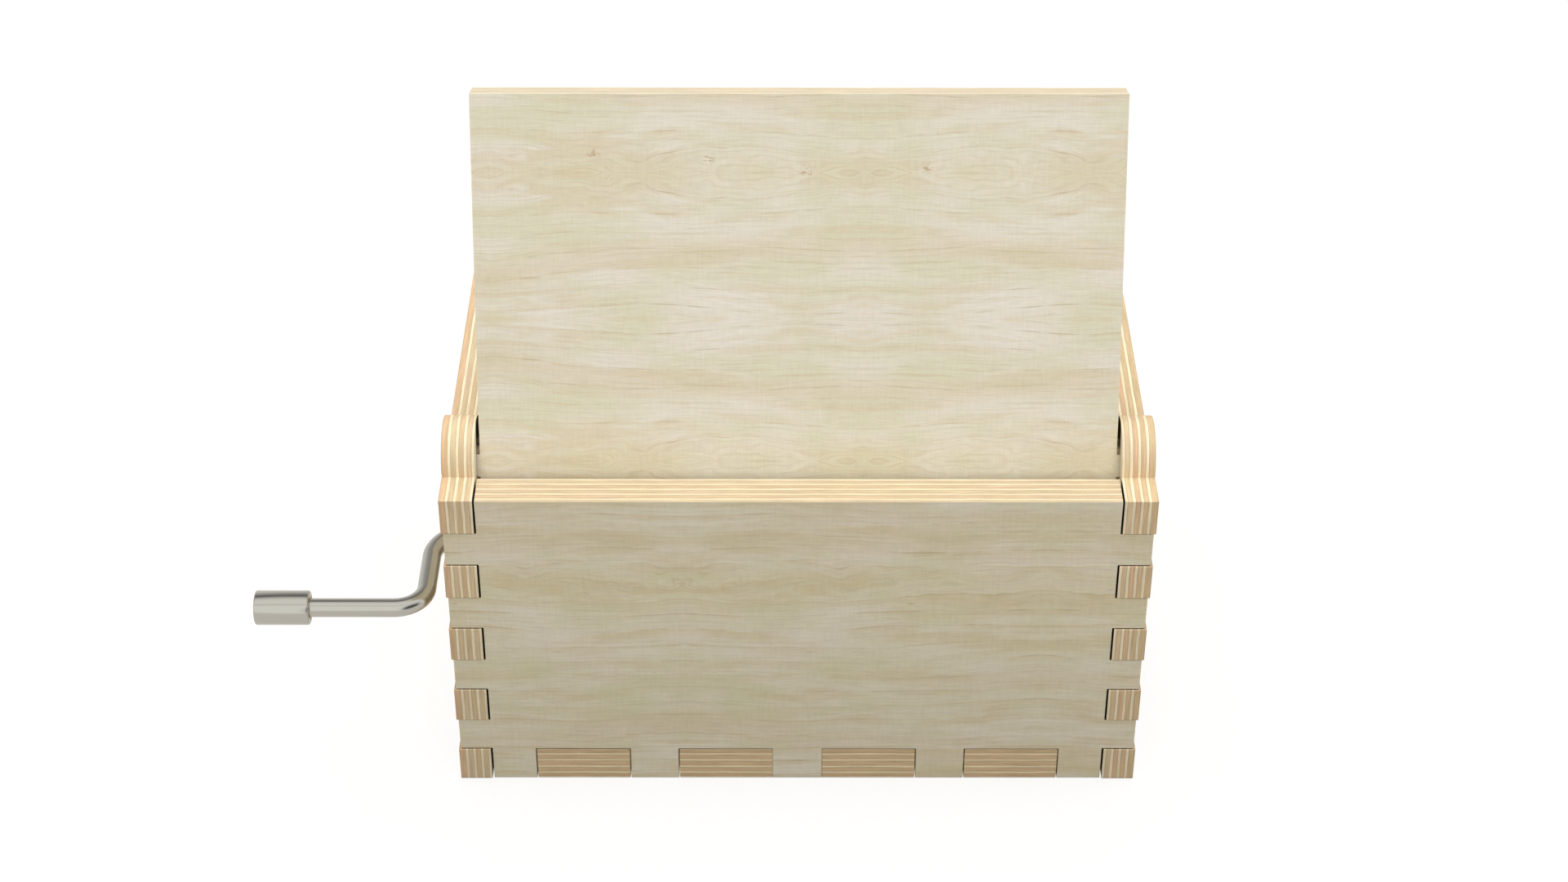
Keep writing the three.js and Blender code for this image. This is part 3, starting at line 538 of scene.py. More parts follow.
# Angles from which an edge is shaded sharp: on flat pieces, turned ones, slotted ones and the worm
FLAT_SHARP = 30
TURNED_SHARP = 40
SLOTTED_SHARP = 35
WORM_SHARP = 28
EASED_ANGLE = 35
EASED_SEGMENTS = 2


def new_object(name, mesh, materials, matrix):
    piece = bpy.data.objects.new(name, mesh)
    for material in materials:
        mesh.materials.append(material)
    bpy.context.scene.collection.objects.link(piece)
    piece.matrix_world = matrix
    return piece


def finish_mesh(bm, name, sharp_from=FLAT_SHARP):
    bmesh.ops.recalc_face_normals(bm, faces=bm.faces)
    mesh = bpy.data.meshes.new(name)
    bm.to_mesh(mesh)
    bm.free()
    mesh.shade_smooth()
    mesh.set_sharp_from_angle(angle=math.radians(sharp_from))
    return mesh


def apply_modifiers(piece):
    """Writes the modifiers' result into the piece's own mesh."""
    bpy.context.view_layer.update()
    evaluated = piece.evaluated_get(bpy.context.evaluated_depsgraph_get())
    mesh = bpy.data.meshes.new_from_object(evaluated)
    piece.modifiers.clear()
    piece.data = mesh


def cad_bmesh(node, matrix):
    """The CAD node's solid with its triangles merged into flat faces, in the matrix's own frame."""
    bm = bmesh.new()
    bm.from_mesh(frame["nodes"][node].data)
    bmesh.ops.remove_doubles(bm, verts=bm.verts, dist=SAME_PLACE)
    bmesh.ops.transform(bm, matrix=matrix.inverted(), verts=bm.verts)
    bmesh.ops.dissolve_limit(bm, angle_limit=math.radians(FLAT_ANGLE), verts=bm.verts, edges=bm.edges)
    for layer in list(bm.loops.layers.uv):
        bm.loops.layers.uv.remove(layer)
    return bm


def ease_edges(piece, width):
    """Rounds the piece's sharp edges by a width in millimetres."""
    bevel = piece.modifiers.new("eased_edges", "BEVEL")
    bevel.width = width * MM
    bevel.segments = EASED_SEGMENTS
    bevel.limit_method = "ANGLE"
    bevel.angle_limit = math.radians(EASED_ANGLE)
    bevel.use_clamp_overlap = True
    bevel.miter_outer = "MITER_ARC"
    piece.modifiers.new("flat_faces", "WEIGHTED_NORMAL").keep_sharp = True
    apply_modifiers(piece)


def cut_away(piece, tool):
    """Cuts the tool's form out of the piece and removes the tool."""
    modifier = piece.modifiers.new("cut", "BOOLEAN")
    modifier.operation = "DIFFERENCE"
    modifier.solver = "EXACT"
    modifier.object = tool
    apply_modifiers(piece)
    piece.data.set_sharp_from_angle(angle=math.radians(SLOTTED_SHARP))
    bpy.data.objects.remove(tool)


def middle(node):
    low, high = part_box(node)
    return (low + high) / 2


def joint_place(name):
    return Vector(next(joint["pos_m"] for joint in frame["joints"] if joint["name"] == name))


def axes_matrix(along, across, outward, origin):
    rotation = Matrix((along, across, outward)).transposed().to_4x4()
    return Matrix.Translation(origin) @ rotation


def circle(bm, centre, radius, side, up, sides):
    """A ring of vertices in the plane of two directions; the places are in millimetres."""
    angles = [2 * math.pi * i / sides for i in range(sides)]
    return [bm.verts.new((centre + radius * (side * math.cos(a) + up * math.sin(a))) * MM) for a in angles]


def join_rings(bm, rings):
    """Faces between each ring of vertices and the next; a ring of one vertex closes the form."""
    for lower, upper in zip(rings, rings[1:]):
        sides = max(len(lower), len(upper))
        for i in range(sides):
            j = (i + 1) % sides
            corners = [lower[i % len(lower)], lower[j % len(lower)],
                       upper[j % len(upper)], upper[i % len(upper)]]
            bm.faces.new(list(dict.fromkeys(corners)))


def closed_tube(bm, rings):
    join_rings(bm, rings)
    bm.faces.new(rings[0])
    bm.faces.new(rings[-1])


def lathe(name, profile, material, matrix, sides, sharp_from=TURNED_SHARP):
    """A turned piece about local Z, from [radius, z] points in millimetres; radius 0 closes it."""
    bm = bmesh.new()
    rings = []
    for radius, z in profile:
        rings.append(circle(bm, Z * z, radius, X, Y, sides) if radius else [bm.verts.new(Z * z * MM)])
    is_solid = profile[0][0] == 0
    join_rings(bm, rings if is_solid else rings + rings[:1])
    return new_object(name, finish_mesh(bm, name, sharp_from), [material], matrix)


def both_ends(end_profile, length):
    """A profile's low end, given, and its mirror image at the high end."""
    return end_profile + [(radius, length - z) for radius, z in reversed(end_profile)]


def stands_for(piece, node, body):
    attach(piece, body)
    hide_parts(node)


# ---------------------------------------------------------------- plywood case
SIDE_THICKNESS = 3.0
END_THICKNESS = 3.4
FLOOR_THICKNESS = 3.6
LID_THICKNESS = 3.1
# Widths of the plies in millimetres, from the inner face to the outer one
LEFT_LAYERS = [(0.24, CREAM), (0.48, TAN), (0.24, CREAM_PALE), (0.48, TAN_DEEP), (0.24, CREAM),
               (0.48, TAN), (0.24, CREAM_PALE), (0.6, TAN_RED)]
RIGHT_LAYERS = [(0.24, CREAM), (0.48, TAN), (0.24, CREAM_PALE), (0.48, TAN_RED), (0.24, CREAM),
                (0.48, TAN_DEEP), (0.24, CREAM_PALE), (0.6, TAN_DEEP)]
END_LAYERS = [(0.05, END_TAN), (0.24, END_CREAM), (0.42, END_TAN), (0.24, END_CREAM), (0.5, END_PINK),
              (0.24, END_CREAM), (0.5, END_TAN), (0.24, END_CREAM), (0.48, END_PINK), (0.25, END_CREAM),
              (0.24, END_TAN)]
FLOOR_LAYERS = [(0.5, FLOOR_DEEP), (0.22, FLOOR_CREAM), (0.52, FLOOR_TAN), (0.22, FLOOR_CREAM),
                (0.6, FLOOR_TAN), (0.22, FLOOR_CREAM), (0.52, FLOOR_TAN), (0.22, FLOOR_CREAM),
                (0.4, FLOOR_DEEP), (0.16, FLOOR_CREAM)]
LID_LAYERS = [(0.3, LID_PALE), (0.5, LID_CREAM), (0.35, LID_TAN), (0.55, LID_PALE), (0.35, LID_TAN),
              (0.6, LID_CREAM), (0.45, LID_PALE)]
# How far a panel's edges are eased
PANEL_EDGE = 0.05
# Faces of a panel whose normal is this near to local Z are veneered; the others show the plies
FACE_ANGLE = 25
# The middle foot of an end panel: it lies within this reach of the middle, and its gaps close by this much
FOOT_REACH = 3.0
FOOT_GAP = 0.07


def tight_foot(bm):
    """Closes the joint gaps beside a panel's middle foot, where the photograph shows none."""
    for vert in bm.verts:
        if abs(vert.co.x) < FOOT_REACH * MM and vert.co.y < 0:
            vert.co.x += math.copysign(FOOT_GAP * MM, vert.co.x)


def panel(node, body, directions, origin, thickness, layers, seed, edge_fall=(0, 1), **face):
    """The CAD panel with eased edges, veneered faces and layered cut edges.

    Its directions are along the grain, across it and outwards."""
    matrix = axes_matrix(*directions, origin)
    bm = cad_bmesh(node, matrix)
    if layers is END_LAYERS:
        tight_foot(bm)
    name = node + "_ply"
    piece = new_object(name, finish_mesh(bm, name), [
        veneer(node + "_veneer", seed, **face),
        ply_edge(node + "_layers", thickness, layers, seed, edge_fall),
    ], matrix)
    ease_edges(piece, PANEL_EDGE)
    least = math.cos(math.radians(FACE_ANGLE))
    for polygon in piece.data.polygons:
        polygon.material_index = 0 if abs(polygon.normal.z) > least else 1
    stands_for(piece, node, body)


LID_ANGLE = math.radians(70.6)
lid_along = Vector((0, math.cos(LID_ANGLE), math.sin(LID_ANGLE)))
lid_out = Vector((0, -math.sin(LID_ANGLE), math.cos(LID_ANGLE)))
# Each knot's place along and across the lid, and its size
LID_KNOTS = ((-18.0, 28.5, 0.34), (-7.8, 28.2, 0.24), (0.6, 26.9, 0.26), (11.2, 27.2, 0.28))
# Painted shade at the foot of the side panels' cut edges: where it starts on local Y, and the lightness left
SIDE_FALL = (-13, 0.88)

panel("left_side_panel", "case", (-Y, Z, -X), middle("left_side_panel"), SIDE_THICKNESS, LEFT_LAYERS,
      seed=1.7, mirror=(-6.0, MID_SHEET), edge_fall=SIDE_FALL)
panel("right_side_panel", "case", (Y, Z, X), middle("right_side_panel"), SIDE_THICKNESS, RIGHT_LAYERS,
      seed=5.2, mirror=(9.0, MID_SHEET), flame=26.0, edge_fall=SIDE_FALL)
# The rear panel's fall paints shade towards its foot
panel("rear_panel", "case", (X, Z, -Y), middle("rear_panel"), END_THICKNESS, END_LAYERS,
      seed=9.4, mirror=(-10.5, MID_SHEET), flame=37.4, tone=(1.03, 1.04, 1.02), fall=(-13, 0.91))
panel("front_panel", "case", (-X, Z, Y), middle("front_panel"), END_THICKNESS, END_LAYERS,
      seed=14.8, mirror=(4.0, MID_SHEET), flame=27.0)
panel("bottom_panel", "case", (X, -Y, -Z), middle("bottom_panel"), FLOOR_THICKNESS, FLOOR_LAYERS,
      seed=20.3, mirror=(0.0, MID_SHEET))
# The lid's fall paints shade towards its foot at the hinge
panel("lid", "lid", (X, lid_along, lid_out), joint_place("lid_hinge"), LID_THICKNESS, LID_LAYERS,
      seed=26.1, mirror=(5.8, 26.85), sheet=(33.0, 13.2), flame=0.0, waver=0.5, curl=3.2, heart=0.3,
      tone=(1.09, 1.12, 1.185), fall=(0, 0.96), knots=LID_KNOTS)


# ---------------------------------------------------------------- crank
# Lengths in millimetres, and places measured from the joint on the shaft's axis
SHAFT = joint_place("crank_turn")
WIRE_RADIUS = 0.86
WIRE_CHAMFER = 0.15
WIRE_SIDES = 40
CRANK_THROW = 11.2
SHAFT_BEND = 3.7
HANDLE_BEND = 2.75
BEND_STEPS = 28
LINK_X = -20.05
SOCKET_END = -6.3
KNOB_RADIUS = 1.57
KNOB_BORE = 0.96
KNOB_LENGTH = 4.95
KNOB_WALL = 0.8
KNOB_SIDES = 72
HANDLE_LENGTH = 15.3
KNOB_LEFT = LINK_X - HANDLE_LENGTH
WIRE_GAP = 0.3
WIRE_END = KNOB_LEFT + KNOB_WALL + WIRE_GAP
# Radius and distance from the end: the knob's closed end is a little dished, the open one is rounded
KNOB_CLOSED_END = [(0, 0.06), (0.5, 0.05), (1.27, 0.0), (1.41, 0.0), (1.51, 0.045), (KNOB_RADIUS, 0.14)]
KNOB_OPEN_END = [(KNOB_RADIUS, 0.15), (1.52, 0.05), (1.43, 0.0), (1.14, 0.0), (0.99, 0.12), (KNOB_BORE, 0.3)]


def quarter_bend(corner, radius):
    """Points from a level arm round to the crank's link; a radius below 0 turns the bend over."""
    angles = [i / BEND_STEPS * math.pi / 2 for i in range(BEND_STEPS + 1)]
    return [corner + radius * Vector((1 - math.sin(a), math.cos(a) - 1, 0)) for a in angles]


def crank_points():
    """The wire's middle line, from the shaft's socket over the link to the inside of the knob."""
    link_start = Vector((LINK_X, 0, 0))
    link_end = Vector((LINK_X, -CRANK_THROW, 0))
    return [
        Vector((SOCKET_END, 0, 0)), Vector((SOCKET_END - WIRE_CHAMFER, 0, 0)),
        *quarter_bend(link_start, SHAFT_BEND), *reversed(quarter_bend(link_end, -HANDLE_BEND)),
        Vector((WIRE_END + WIRE_CHAMFER, -CRANK_THROW, 0)), Vector((WIRE_END, -CRANK_THROW, 0))]


def wire():
    """The round wire along the crank's points, in the local XY plane, with chamfered ends."""
    bm = bmesh.new()
    points = crank_points()
    last = len(points) - 1
    rings = []
    for n, point in enumerate(points):
        tangent = (points[min(n + 1, last)] - points[max(n - 1, 0)]).normalized()
        side = Vector((-tangent.y, tangent.x, 0))
        radius = WIRE_RADIUS - WIRE_CHAMFER if n in (0, last) else WIRE_RADIUS
        rings.append(circle(bm, point, radius, side, Z, WIRE_SIDES))
    closed_tube(bm, rings)
    piece = new_object("crank_wire", finish_mesh(bm, "crank_wire", TURNED_SHARP), [nickel_wire],
                       Matrix.Translation(SHAFT))
    stands_for(piece, "crank", "crank")


def knob():
    start = SHAFT + Vector((KNOB_LEFT, -CRANK_THROW, 0)) * MM
    outside = KNOB_CLOSED_END + [(radius, KNOB_LENGTH - depth) for radius, depth in KNOB_OPEN_END]
    piece = lathe("crank_knob_sleeve", outside + [(KNOB_BORE, KNOB_WALL), (0, KNOB_WALL)], nickel_turned,
                  axes_matrix(-Z, Y, X, start), KNOB_SIDES)
    stands_for(piece, "crank_knob", "knob")


wire()
knob()


# ---------------------------------------------------------------- movement: sheet, castings and comb
def kept_form(node, body, material, edge):
    """The CAD node's own form with its edges eased."""
    piece = new_object(node + "_eased", finish_mesh(cad_bmesh(node, Matrix()), node), [material], Matrix())
    ease_edges(piece, edge)
    stands_for(piece, node, body)


kept_form("bedplate", "case", cast_zinc, edge=0.15)
kept_form("comb_base", "case", brass_bar, edge=0.08)
kept_form("comb", "case", comb_steel, edge=0.035)
kept_form("drive_bracket", "case", nickel_sheet, edge=0.08)
kept_form("arbor_bearing", "case", nickel_sheet, edge=0.08)
kept_form("worm_wheel", "cylinder", brass_worm, edge=0.04)


# ---------------------------------------------------------------- movement: screws
# Cheese heads stand on the movement; the movement's own screws are sunk into the case from below
SCREW_RADIUS = 0.8
SCREW_SIDES = 48
THREAD_PITCH = 0.4
THREAD_DEPTH = 0.12
# Shares of the pitch at which a thread's crest starts, its crest ends and its flank is down again
CREST_START = 0.3
CREST_END = 0.5
THREAD_DOWN = 0.8
HEAD_RADIUS = 1.35
HEAD_HEIGHT = 0.8
# Radius and height along the rounded head, from its seat to its middle
HEAD_PROFILE = [(HEAD_RADIUS - 0.06, 0), (HEAD_RADIUS, 0.06), (HEAD_RADIUS, 0.56), (1.31, 0.66),
                (1.2, 0.73), (0.9, 0.775), (0.45, 0.795), (0, HEAD_HEIGHT)]
SUNK_RADIUS = 1.9
SUNK_SHANK = 1.0
SUNK_EDGE = 0.08
SLOT_WIDTH = 0.36
SLOT_DEPTH = 0.4
SLOT_REACH = 2 * SUNK_RADIUS
# Where the bar that cuts a slot ends in the open: above a head's seat, and below a sunk screw's face
ABOVE_SEAT = 2
BELOW_FACE = -1
# Each slot's angle is a multiple of this, in degrees
SLOT_TURN = 37


def threaded(radius, z0, z1):
    """Profile points of a threaded shank from z0 up to z1, its tip chamfered."""
    root = radius - THREAD_DEPTH
    points = [(0, z0), (root - THREAD_DEPTH, z0)]
    count = int((z1 - z0) / THREAD_PITCH)
    for i in range(count):
        z = z0 + THREAD_DEPTH + i * THREAD_PITCH
        points += [(root, z), (radius, z + CREST_START * THREAD_PITCH),
                   (radius, z + CREST_END * THREAD_PITCH), (root, z + THREAD_DOWN * THREAD_PITCH)]
    return [point for point in points if point[1] < z1 - THREAD_DEPTH] + [(root, z1 - THREAD_DEPTH)]


def slot_tool(matrix, low_z, high_z):
    """A bar as wide as a screw's slot, between two heights in millimetres."""
    corner = Vector((SLOT_REACH, SLOT_WIDTH / 2, 0))
    low, high = (Z * low_z - corner) * MM, (Z * high_z + corner) * MM
    bm = bmesh.new()
    bmesh.ops.create_cube(bm, size=1)
    for vert in bm.verts:
        vert.co = Vector((low[i] if vert.co[i] < 0 else high[i] for i in range(3)))
    return new_object("slot", finish_mesh(bm, "slot"), [], matrix)


def slotted_screw(node, profile, matrix, slot_low, slot_high, turn):
    screw = lathe(node + "_turned", profile, nickel_screw, matrix, SCREW_SIDES, SLOTTED_SHARP)
    spin = Matrix.Rotation(math.radians(turn), 4, "Z")
    cut_away(screw, slot_tool(matrix @ spin, slot_low, slot_high))
    stands_for(screw, node, "case")


def cheese_head(node, turn):
    low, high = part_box(node)
    seat = Vector((*middle(node).xy, high.z - HEAD_HEIGHT * MM))
    profile = threaded(SCREW_RADIUS, (low.z - seat.z) / MM, 0) + HEAD_PROFILE
    slotted_screw(node, profile, Matrix.Translation(seat), HEAD_HEIGHT - SLOT_DEPTH, ABOVE_SEAT, turn)


def countersunk(node, turn):
    low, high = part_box(node)
    face = Vector((*middle(node).xy, low.z))
    length = (high.z - low.z) / MM
    neck = SUNK_RADIUS - SUNK_SHANK
    shank = [(radius, length - z) for radius, z in threaded(SUNK_SHANK, 0, length - neck)]
    profile = [(0, 0), (SUNK_RADIUS - SUNK_EDGE, 0), (SUNK_RADIUS, SUNK_EDGE), (SUNK_SHANK, neck)]
    slotted_screw(node, profile + shank[::-1], Matrix.Translation(face), BELOW_FACE, SLOT_DEPTH, turn)


SCREWS = [(cheese_head, "comb_screw"), (cheese_head, "drive_bracket_screw"),
          (cheese_head, "arbor_bearing_screw"), (countersunk, "movement_screw")]
for make_screw, stem in SCREWS:
    for node in sorted(name for name in frame["nodes"] if name.startswith(stem)):
        make_screw(node, SLOT_TURN * (len(stem) + 2 * int(node[-1])))


# ---------------------------------------------------------------- movement: cylinder and shafts
CYLINDER_RADIUS = 6.5
CYLINDER_RIM = 0.9
CYLINDER_RECESS = 0.8
CYLINDER_HUB = 2.6
CYLINDER_BORE = 1.16
CYLINDER_SIDES = 128
ARBOR_RADIUS = 1.1
ARBOR_SIDES = 48
PIVOT_RADIUS = 0.7
PIVOT_LENGTH = 1.55
SHAFT_RADIUS = 1.35
SHAFT_SIDES = 64
SHAFT_SOCKET = 0.91
SOCKET_DEPTH = 5
# Chamfers in millimetres
FINE_CHAMFER = 0.08
RIM_CHAMFER = 0.1
WIDE_CHAMFER = 0.12
TIP_CHAMFER = 0.15
# The shaft's rounded end: radius below the shaft's own, and distance from the end
SHAFT_ROUNDING = [(0.25, 0), (0.06, 0.1), (0, 0.25)]


def turned_about(node, axis, across):
    """The frame of a piece turned about its box's middle line, with z = 0 at its low end, and its length."""
    low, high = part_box(node)
    length = (high - low).dot(axis)
    start = middle(node) - axis * length / 2
    return axes_matrix(across, axis.cross(across), axis, start), length / MM


cylinder_frame, cylinder_length = turned_about("pin_cylinder", Y, X)
arbor_frame, arbor_length = turned_about("cylinder_arbor", Y, X)
shaft_frame, shaft_length = turned_about("worm_shaft", X, -Z)


def barrel():
    rim = CYLINDER_RADIUS - CYLINDER_RIM
    end_profile = [
        (CYLINDER_BORE, FINE_CHAMFER), (CYLINDER_BORE + FINE_CHAMFER, 0),
        (CYLINDER_HUB - FINE_CHAMFER, 0), (CYLINDER_HUB, FINE_CHAMFER),
        (CYLINDER_HUB, CYLINDER_RECESS), (rim, CYLINDER_RECESS),
        (rim, RIM_CHAMFER), (rim + RIM_CHAMFER, 0),
        (CYLINDER_RADIUS - WIDE_CHAMFER, 0), (CYLINDER_RADIUS, WIDE_CHAMFER)]
    piece = lathe("pin_cylinder_barrel", both_ends(end_profile, cylinder_length), brass_turned,
                  cylinder_frame, CYLINDER_SIDES)
    stands_for(piece, "pin_cylinder", "cylinder")


def arbor():
    end_profile = [
        (0, 0), (PIVOT_RADIUS - TIP_CHAMFER, 0), (PIVOT_RADIUS, TIP_CHAMFER), (PIVOT_RADIUS, PIVOT_LENGTH),
        (ARBOR_RADIUS - FINE_CHAMFER, PIVOT_LENGTH), (ARBOR_RADIUS, PIVOT_LENGTH + FINE_CHAMFER)]
    piece = lathe("cylinder_arbor_turned", both_ends(end_profile, arbor_length), arbor_steel,
                  arbor_frame, ARBOR_SIDES)
    stands_for(piece, "cylinder_arbor", "cylinder")


def shaft():
    socket = [(0, SOCKET_DEPTH), (SHAFT_SOCKET, SOCKET_DEPTH), (SHAFT_SOCKET, WIDE_CHAMFER),
              (SHAFT_SOCKET + WIDE_CHAMFER, 0)]
    rounded = [(SHAFT_RADIUS - less, z) for less, z in SHAFT_ROUNDING]
    profile = socket + both_ends(rounded, shaft_length) + [(0, shaft_length)]
    piece = lathe("worm_shaft_turned", profile, nickel_turned, shaft_frame, SHAFT_SIDES)
    stands_for(piece, "worm_shaft", "crank")


# ---------------------------------------------------------------- movement: pins
PIN_RADIUS = 0.24
PIN_TIP = 7.3
PIN_ROOT = 6.2
PIN_SIDES = 10
PIN_MARGIN = 0.25
TRACKS = 18
NOTES = 6
BEATS = 40
# How many beats apart a track's notes and the same notes of the next track are, and how they are mixed
NOTE_STEP = 13
TRACK_STEP = 7
MIX_STEP = 5


def pin(bm, out, foot):
    """One pin out of the barrel, from a foot on the cylinder's axis, with a chamfered tip."""
    side = Vector((-out.y, out.x, 0))
    levels = [(PIN_RADIUS, PIN_ROOT), (PIN_RADIUS, PIN_TIP - FINE_CHAMFER),
              (PIN_RADIUS - FINE_CHAMFER, PIN_TIP)]
    closed_tube(bm, [circle(bm, foot + out * reach, radius, side, Z, PIN_SIDES) for radius, reach in levels])


def pins():
    """Steel pins in rows, one row under each tooth; each track's beats step round the cylinder."""
    bm = bmesh.new()
    pitch = (cylinder_length - 2 * PIN_MARGIN) / TRACKS
    for track in range(TRACKS):
        for note in range(NOTES):
            beat = (track * TRACK_STEP + note * NOTE_STEP + track * note % MIX_STEP) % BEATS
            angle = 2 * math.pi * (beat + 0.5) / BEATS
            out = Vector((math.cos(angle), math.sin(angle), 0))
            pin(bm, out, Z * (PIN_MARGIN + (track + 0.5) * pitch))
    piece = new_object("cylinder_pins", finish_mesh(bm, "cylinder_pins"), [pin_steel], cylinder_frame)
    stands_for(piece, "pin_cylinder", "cylinder")


# ---------------------------------------------------------------- movement: worm
# The helix advances by one lead in a turn; the halves are measured from the middle of the worm or the crest
WORM_MODULE = 0.48
WORM_LEAD = math.pi * WORM_MODULE
WORM_CORE = 1.9
WORM_TIP = 2.98
WORM_BORE = 1.41
WORM_CHAMFER = 0.12
WORM_STEPS = 72
THREAD_HALF = 3.8
CREST_HALF = 0.157
FOOT_HALF = 0.55
FLANK_STEPS = 3
WORM_WELD = 0.002


def worm_vert(bm, radius, step, z):
    angle = 2 * math.pi * step / WORM_STEPS
    return bm.verts.new(Vector((radius * math.cos(angle), radius * math.sin(angle), z)) * MM)


def thread_radius(offset, z):
    """The thread's radius this far from the middle of its crest; it sinks into the core at both ends."""
    rise = min(1, max(0, (FOOT_HALF - offset) / (FOOT_HALF - CREST_HALF)))
    return min(WORM_CORE + rise * (WORM_TIP - WORM_CORE), WORM_CORE + THREAD_HALF - abs(z))


def worm_thread(bm):
    """A right handed single start thread, whose stations along the worm follow the helix."""
    flank = [(FOOT_HALF - CREST_HALF) * step / FLANK_STEPS for step in range(FLANK_STEPS + 1)]
    section = [-FOOT_HALF + s for s in flank] + [CREST_HALF + s for s in flank]
    turns = math.ceil(THREAD_HALF / WORM_LEAD) + 1
    stations = [turn * WORM_LEAD + s for turn in range(-turns, turns + 1) for s in section]
    columns = []
    for step in range(WORM_STEPS + 1):
        column = []
        for station in stations:
            z = station + WORM_LEAD * step / WORM_STEPS
            z = max(-THREAD_HALF, min(THREAD_HALF, z))
            offset = abs(station - WORM_LEAD * round(station / WORM_LEAD))
            column.append(worm_vert(bm, thread_radius(offset, z), step, z))
        columns.append(column)
    for left, right in zip(columns, columns[1:]):
        for k in range(len(stations) - 1):
            bm.faces.new((left[k], right[k], right[k + 1], left[k + 1]))


def worm_core(bm, half):
    """The core beyond the thread at both ends, with its bore, out to half the worm's length."""
    levels = [(WORM_CORE, THREAD_HALF), (WORM_CORE, half - WORM_CHAMFER),
              (WORM_CORE - WORM_CHAMFER, half), (WORM_BORE, half), (WORM_BORE, 0)]
    for side in (-1, 1):
        join_rings(bm, [[worm_vert(bm, radius, step, side * z) for step in range(WORM_STEPS)]
                        for radius, z in levels])


def worm():
    low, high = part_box("worm")
    bm = bmesh.new()
    worm_thread(bm)
    worm_core(bm, (high.x - low.x) / MM / 2)
    bmesh.ops.remove_doubles(bm, verts=bm.verts, dist=WORM_WELD * MM)
    matrix = axes_matrix(-Z, Y, X, middle("worm"))
    piece = new_object("worm_cut", finish_mesh(bm, "worm_cut", WORM_SHARP), [brass_worm], matrix)
    stands_for(piece, "worm", "crank")


barrel()
pins()
arbor()
shaft()
worm()


# ---------------------------------------------------------------- floor
# In metres; the floor lies just under the case
FLOOR_SIZE = 6.0
FLOOR_HEIGHT = -0.00005
FLOOR_COLOUR = (0.18, 0.17, 0.155, 1)
# The floor's own glow, as the camera sees it and as metals mirror it
FLOOR_GLOW = 0.82
MIRRORED_GLOW = 0.52
WHITE = (1, 1, 1, 1)


def pale_floor():
    """A dull floor that glows to the camera and in the metals, so it is pale and keeps the shadow."""
    material, t = new_material("pale_floor")
    diffuse = t("ShaderNodeBsdfDiffuse", {"Color": FLOOR_COLOUR})
    paths = t("ShaderNodeLightPath").node.outputs
    seen = t.math("MAXIMUM", paths["Is Camera Ray"], paths["Is Transmission Ray"])
    strength = t.scaled(seen, FLOOR_GLOW, t.times(paths["Is Glossy Ray"], MIRRORED_GLOW))
    glow = t("ShaderNodeEmission", {"Color": WHITE, "Strength": strength})
    t.surface(t("ShaderNodeAddShader", {0: diffuse, 1: glow}))
    return material


def floor():
    bm = bmesh.new()
    bmesh.ops.create_grid(bm, x_segments=1, y_segments=1, size=FLOOR_SIZE / 2)
    piece = new_object("floor", finish_mesh(bm, "floor"), [pale_floor()],
                       Matrix.Translation(Z * FLOOR_HEIGHT))


# ---------------------------------------------------------------- light
# Each lamp's place, the place it shines at, its size in metres and its power; the front is the camera's side
LAMPS = {
    "overhead": ((0.0, 0.0, 1.3), (0, 0, 0), (1.2, 1.0), 12.1),
    "front": ((0.0, -0.56, 0.32), (0, 0, 0.02), (0.6, 0.4), 1.64),
    "back": ((0.0, 1.0, 0.9), (0, 0, 0.03), (1.0, 0.6), 4.2),
    "left": ((-1.0, 0.1, 0.18), (0, 0, 0.02), (0.6, 0.3), 4.4),
    "right": ((1.0, 0.1, 0.18), (0, 0, 0.02), (0.6, 0.3), 4.0),
}
# The world's light on the object
FILL_COLOUR = (1.0, 0.985, 0.955, 1)
FILL_STRENGTH = 0.3
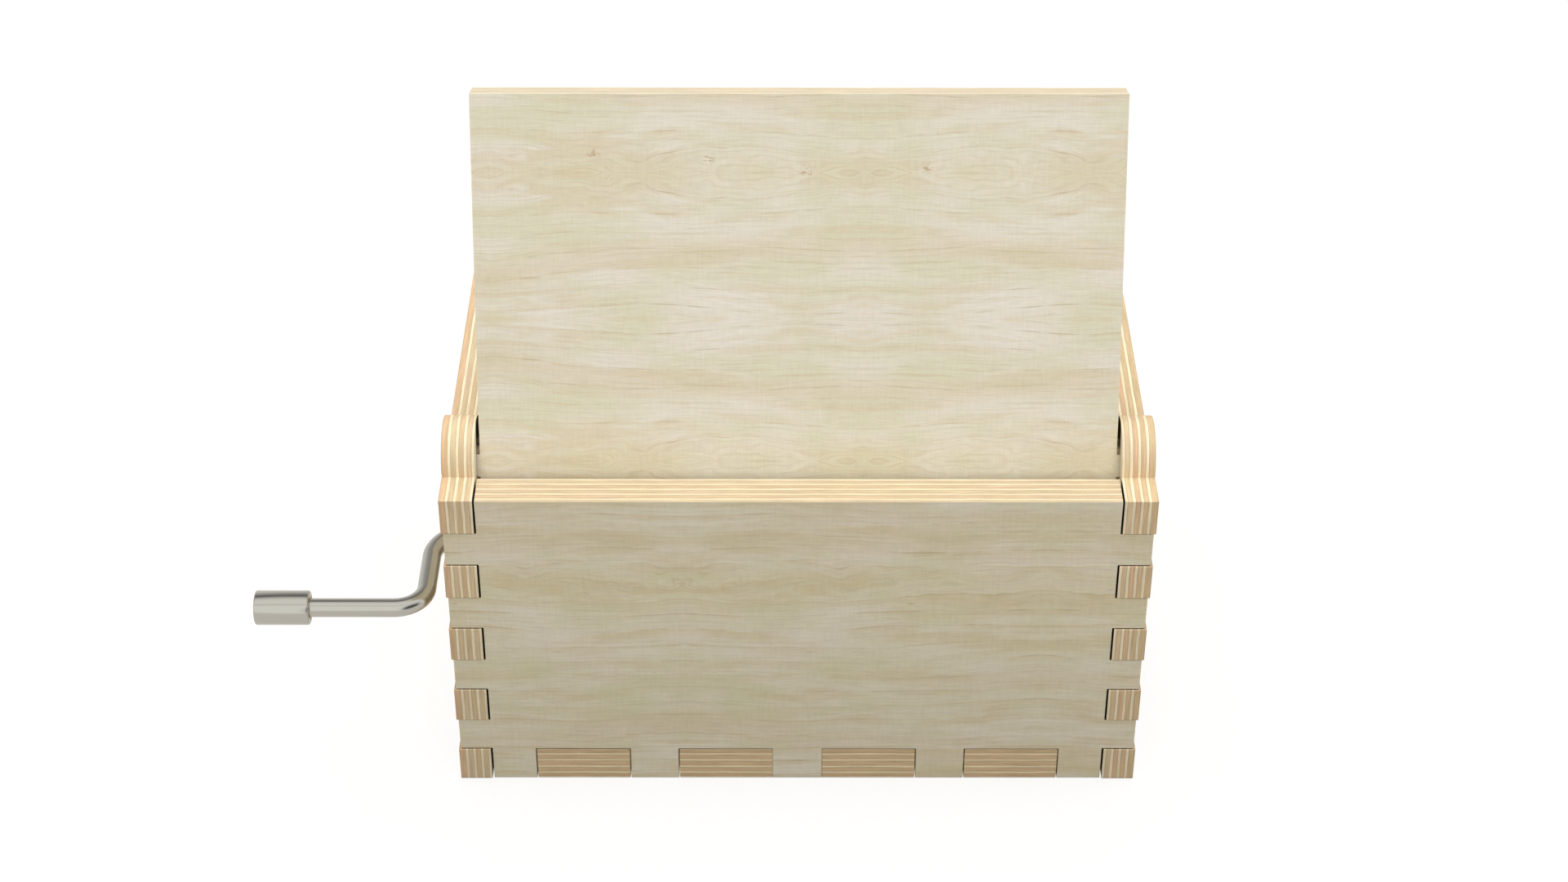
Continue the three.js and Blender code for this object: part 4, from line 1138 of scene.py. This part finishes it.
# Grey levels of the light tent that the metal mirrors, from the camera's side (0) over the top (0.5) to
# the far side (1)
TENT = [(0.0, 1.0), (0.29, 1.0), (0.325, 0.66), (0.36, 0.95), (0.53, 0.95),
        (0.64, 0.5), (0.68, 0.14), (0.73, 0.2), (0.84, 0.5), (1.0, 0.85)]
# The tent's dark opening, low on the right of the camera's side: its direction, the cosines between which
# it fades in, and its level
DOOR = (0.68, -0.71, 0.2)
DOOR_SPREAD = (0.86, 0.97)
DOOR_LEVEL = 0.1


def grey(level):
    return (level, level, level, 1)


def tent_colour(t):
    """The mirrored light tent: bands over the object, and the dark door."""
    direction = t("ShaderNodeTexCoord")
    parts = t("ShaderNodeSeparateXYZ", {0: direction}).node.outputs
    over = t.math("ARCTAN2", parts["Z"], t.times(parts["Y"], -1))
    bands = t.ramp(t.math("DIVIDE", over, math.pi), [(place, grey(level)) for place, level in TENT])
    to_door = t("ShaderNodeVectorMath", {0: direction, 1: DOOR}, out=1, operation="DOT_PRODUCT")
    return t.mix(t.smooth(to_door, *DOOR_SPREAD), bands, grey(DOOR_LEVEL))


def world():
    """White to the camera, the tent to the metals, and a soft fill on everything else."""
    studio = bpy.data.worlds.new("studio")
    bpy.context.scene.world = studio
    studio.use_nodes = True
    t = Tree(studio.node_tree)
    paths = t("ShaderNodeLightPath").node.outputs
    seen = t.math("MAXIMUM", paths["Is Camera Ray"],
                  t.math("MAXIMUM", paths["Is Glossy Ray"], paths["Is Transmission Ray"]))
    seen_colour = t.mix(paths["Is Glossy Ray"], WHITE, tent_colour(t))
    fill = t("ShaderNodeBackground", {"Color": FILL_COLOUR, "Strength": FILL_STRENGTH})
    shown = t("ShaderNodeBackground", {"Color": seen_colour, "Strength": 1.0})
    t("ShaderNodeOutputWorld", {"Surface": t("ShaderNodeMixShader", {0: seen, 1: fill, 2: shown})})


def lamp(name, place, target, size, power):
    data = bpy.data.lights.new(name, "AREA")
    data.shape = "RECTANGLE"
    data.size, data.size_y = size
    data.energy = power
    piece = bpy.data.objects.new(name, data)
    bpy.context.scene.collection.objects.link(piece)
    piece.location = place
    piece.rotation_euler = (Vector(target) - Vector(place)).to_track_quat("-Z", "Y").to_euler()
    piece.visible_glossy = False


floor()
world()
for name, settings in LAMPS.items():
    lamp(name, *settings)
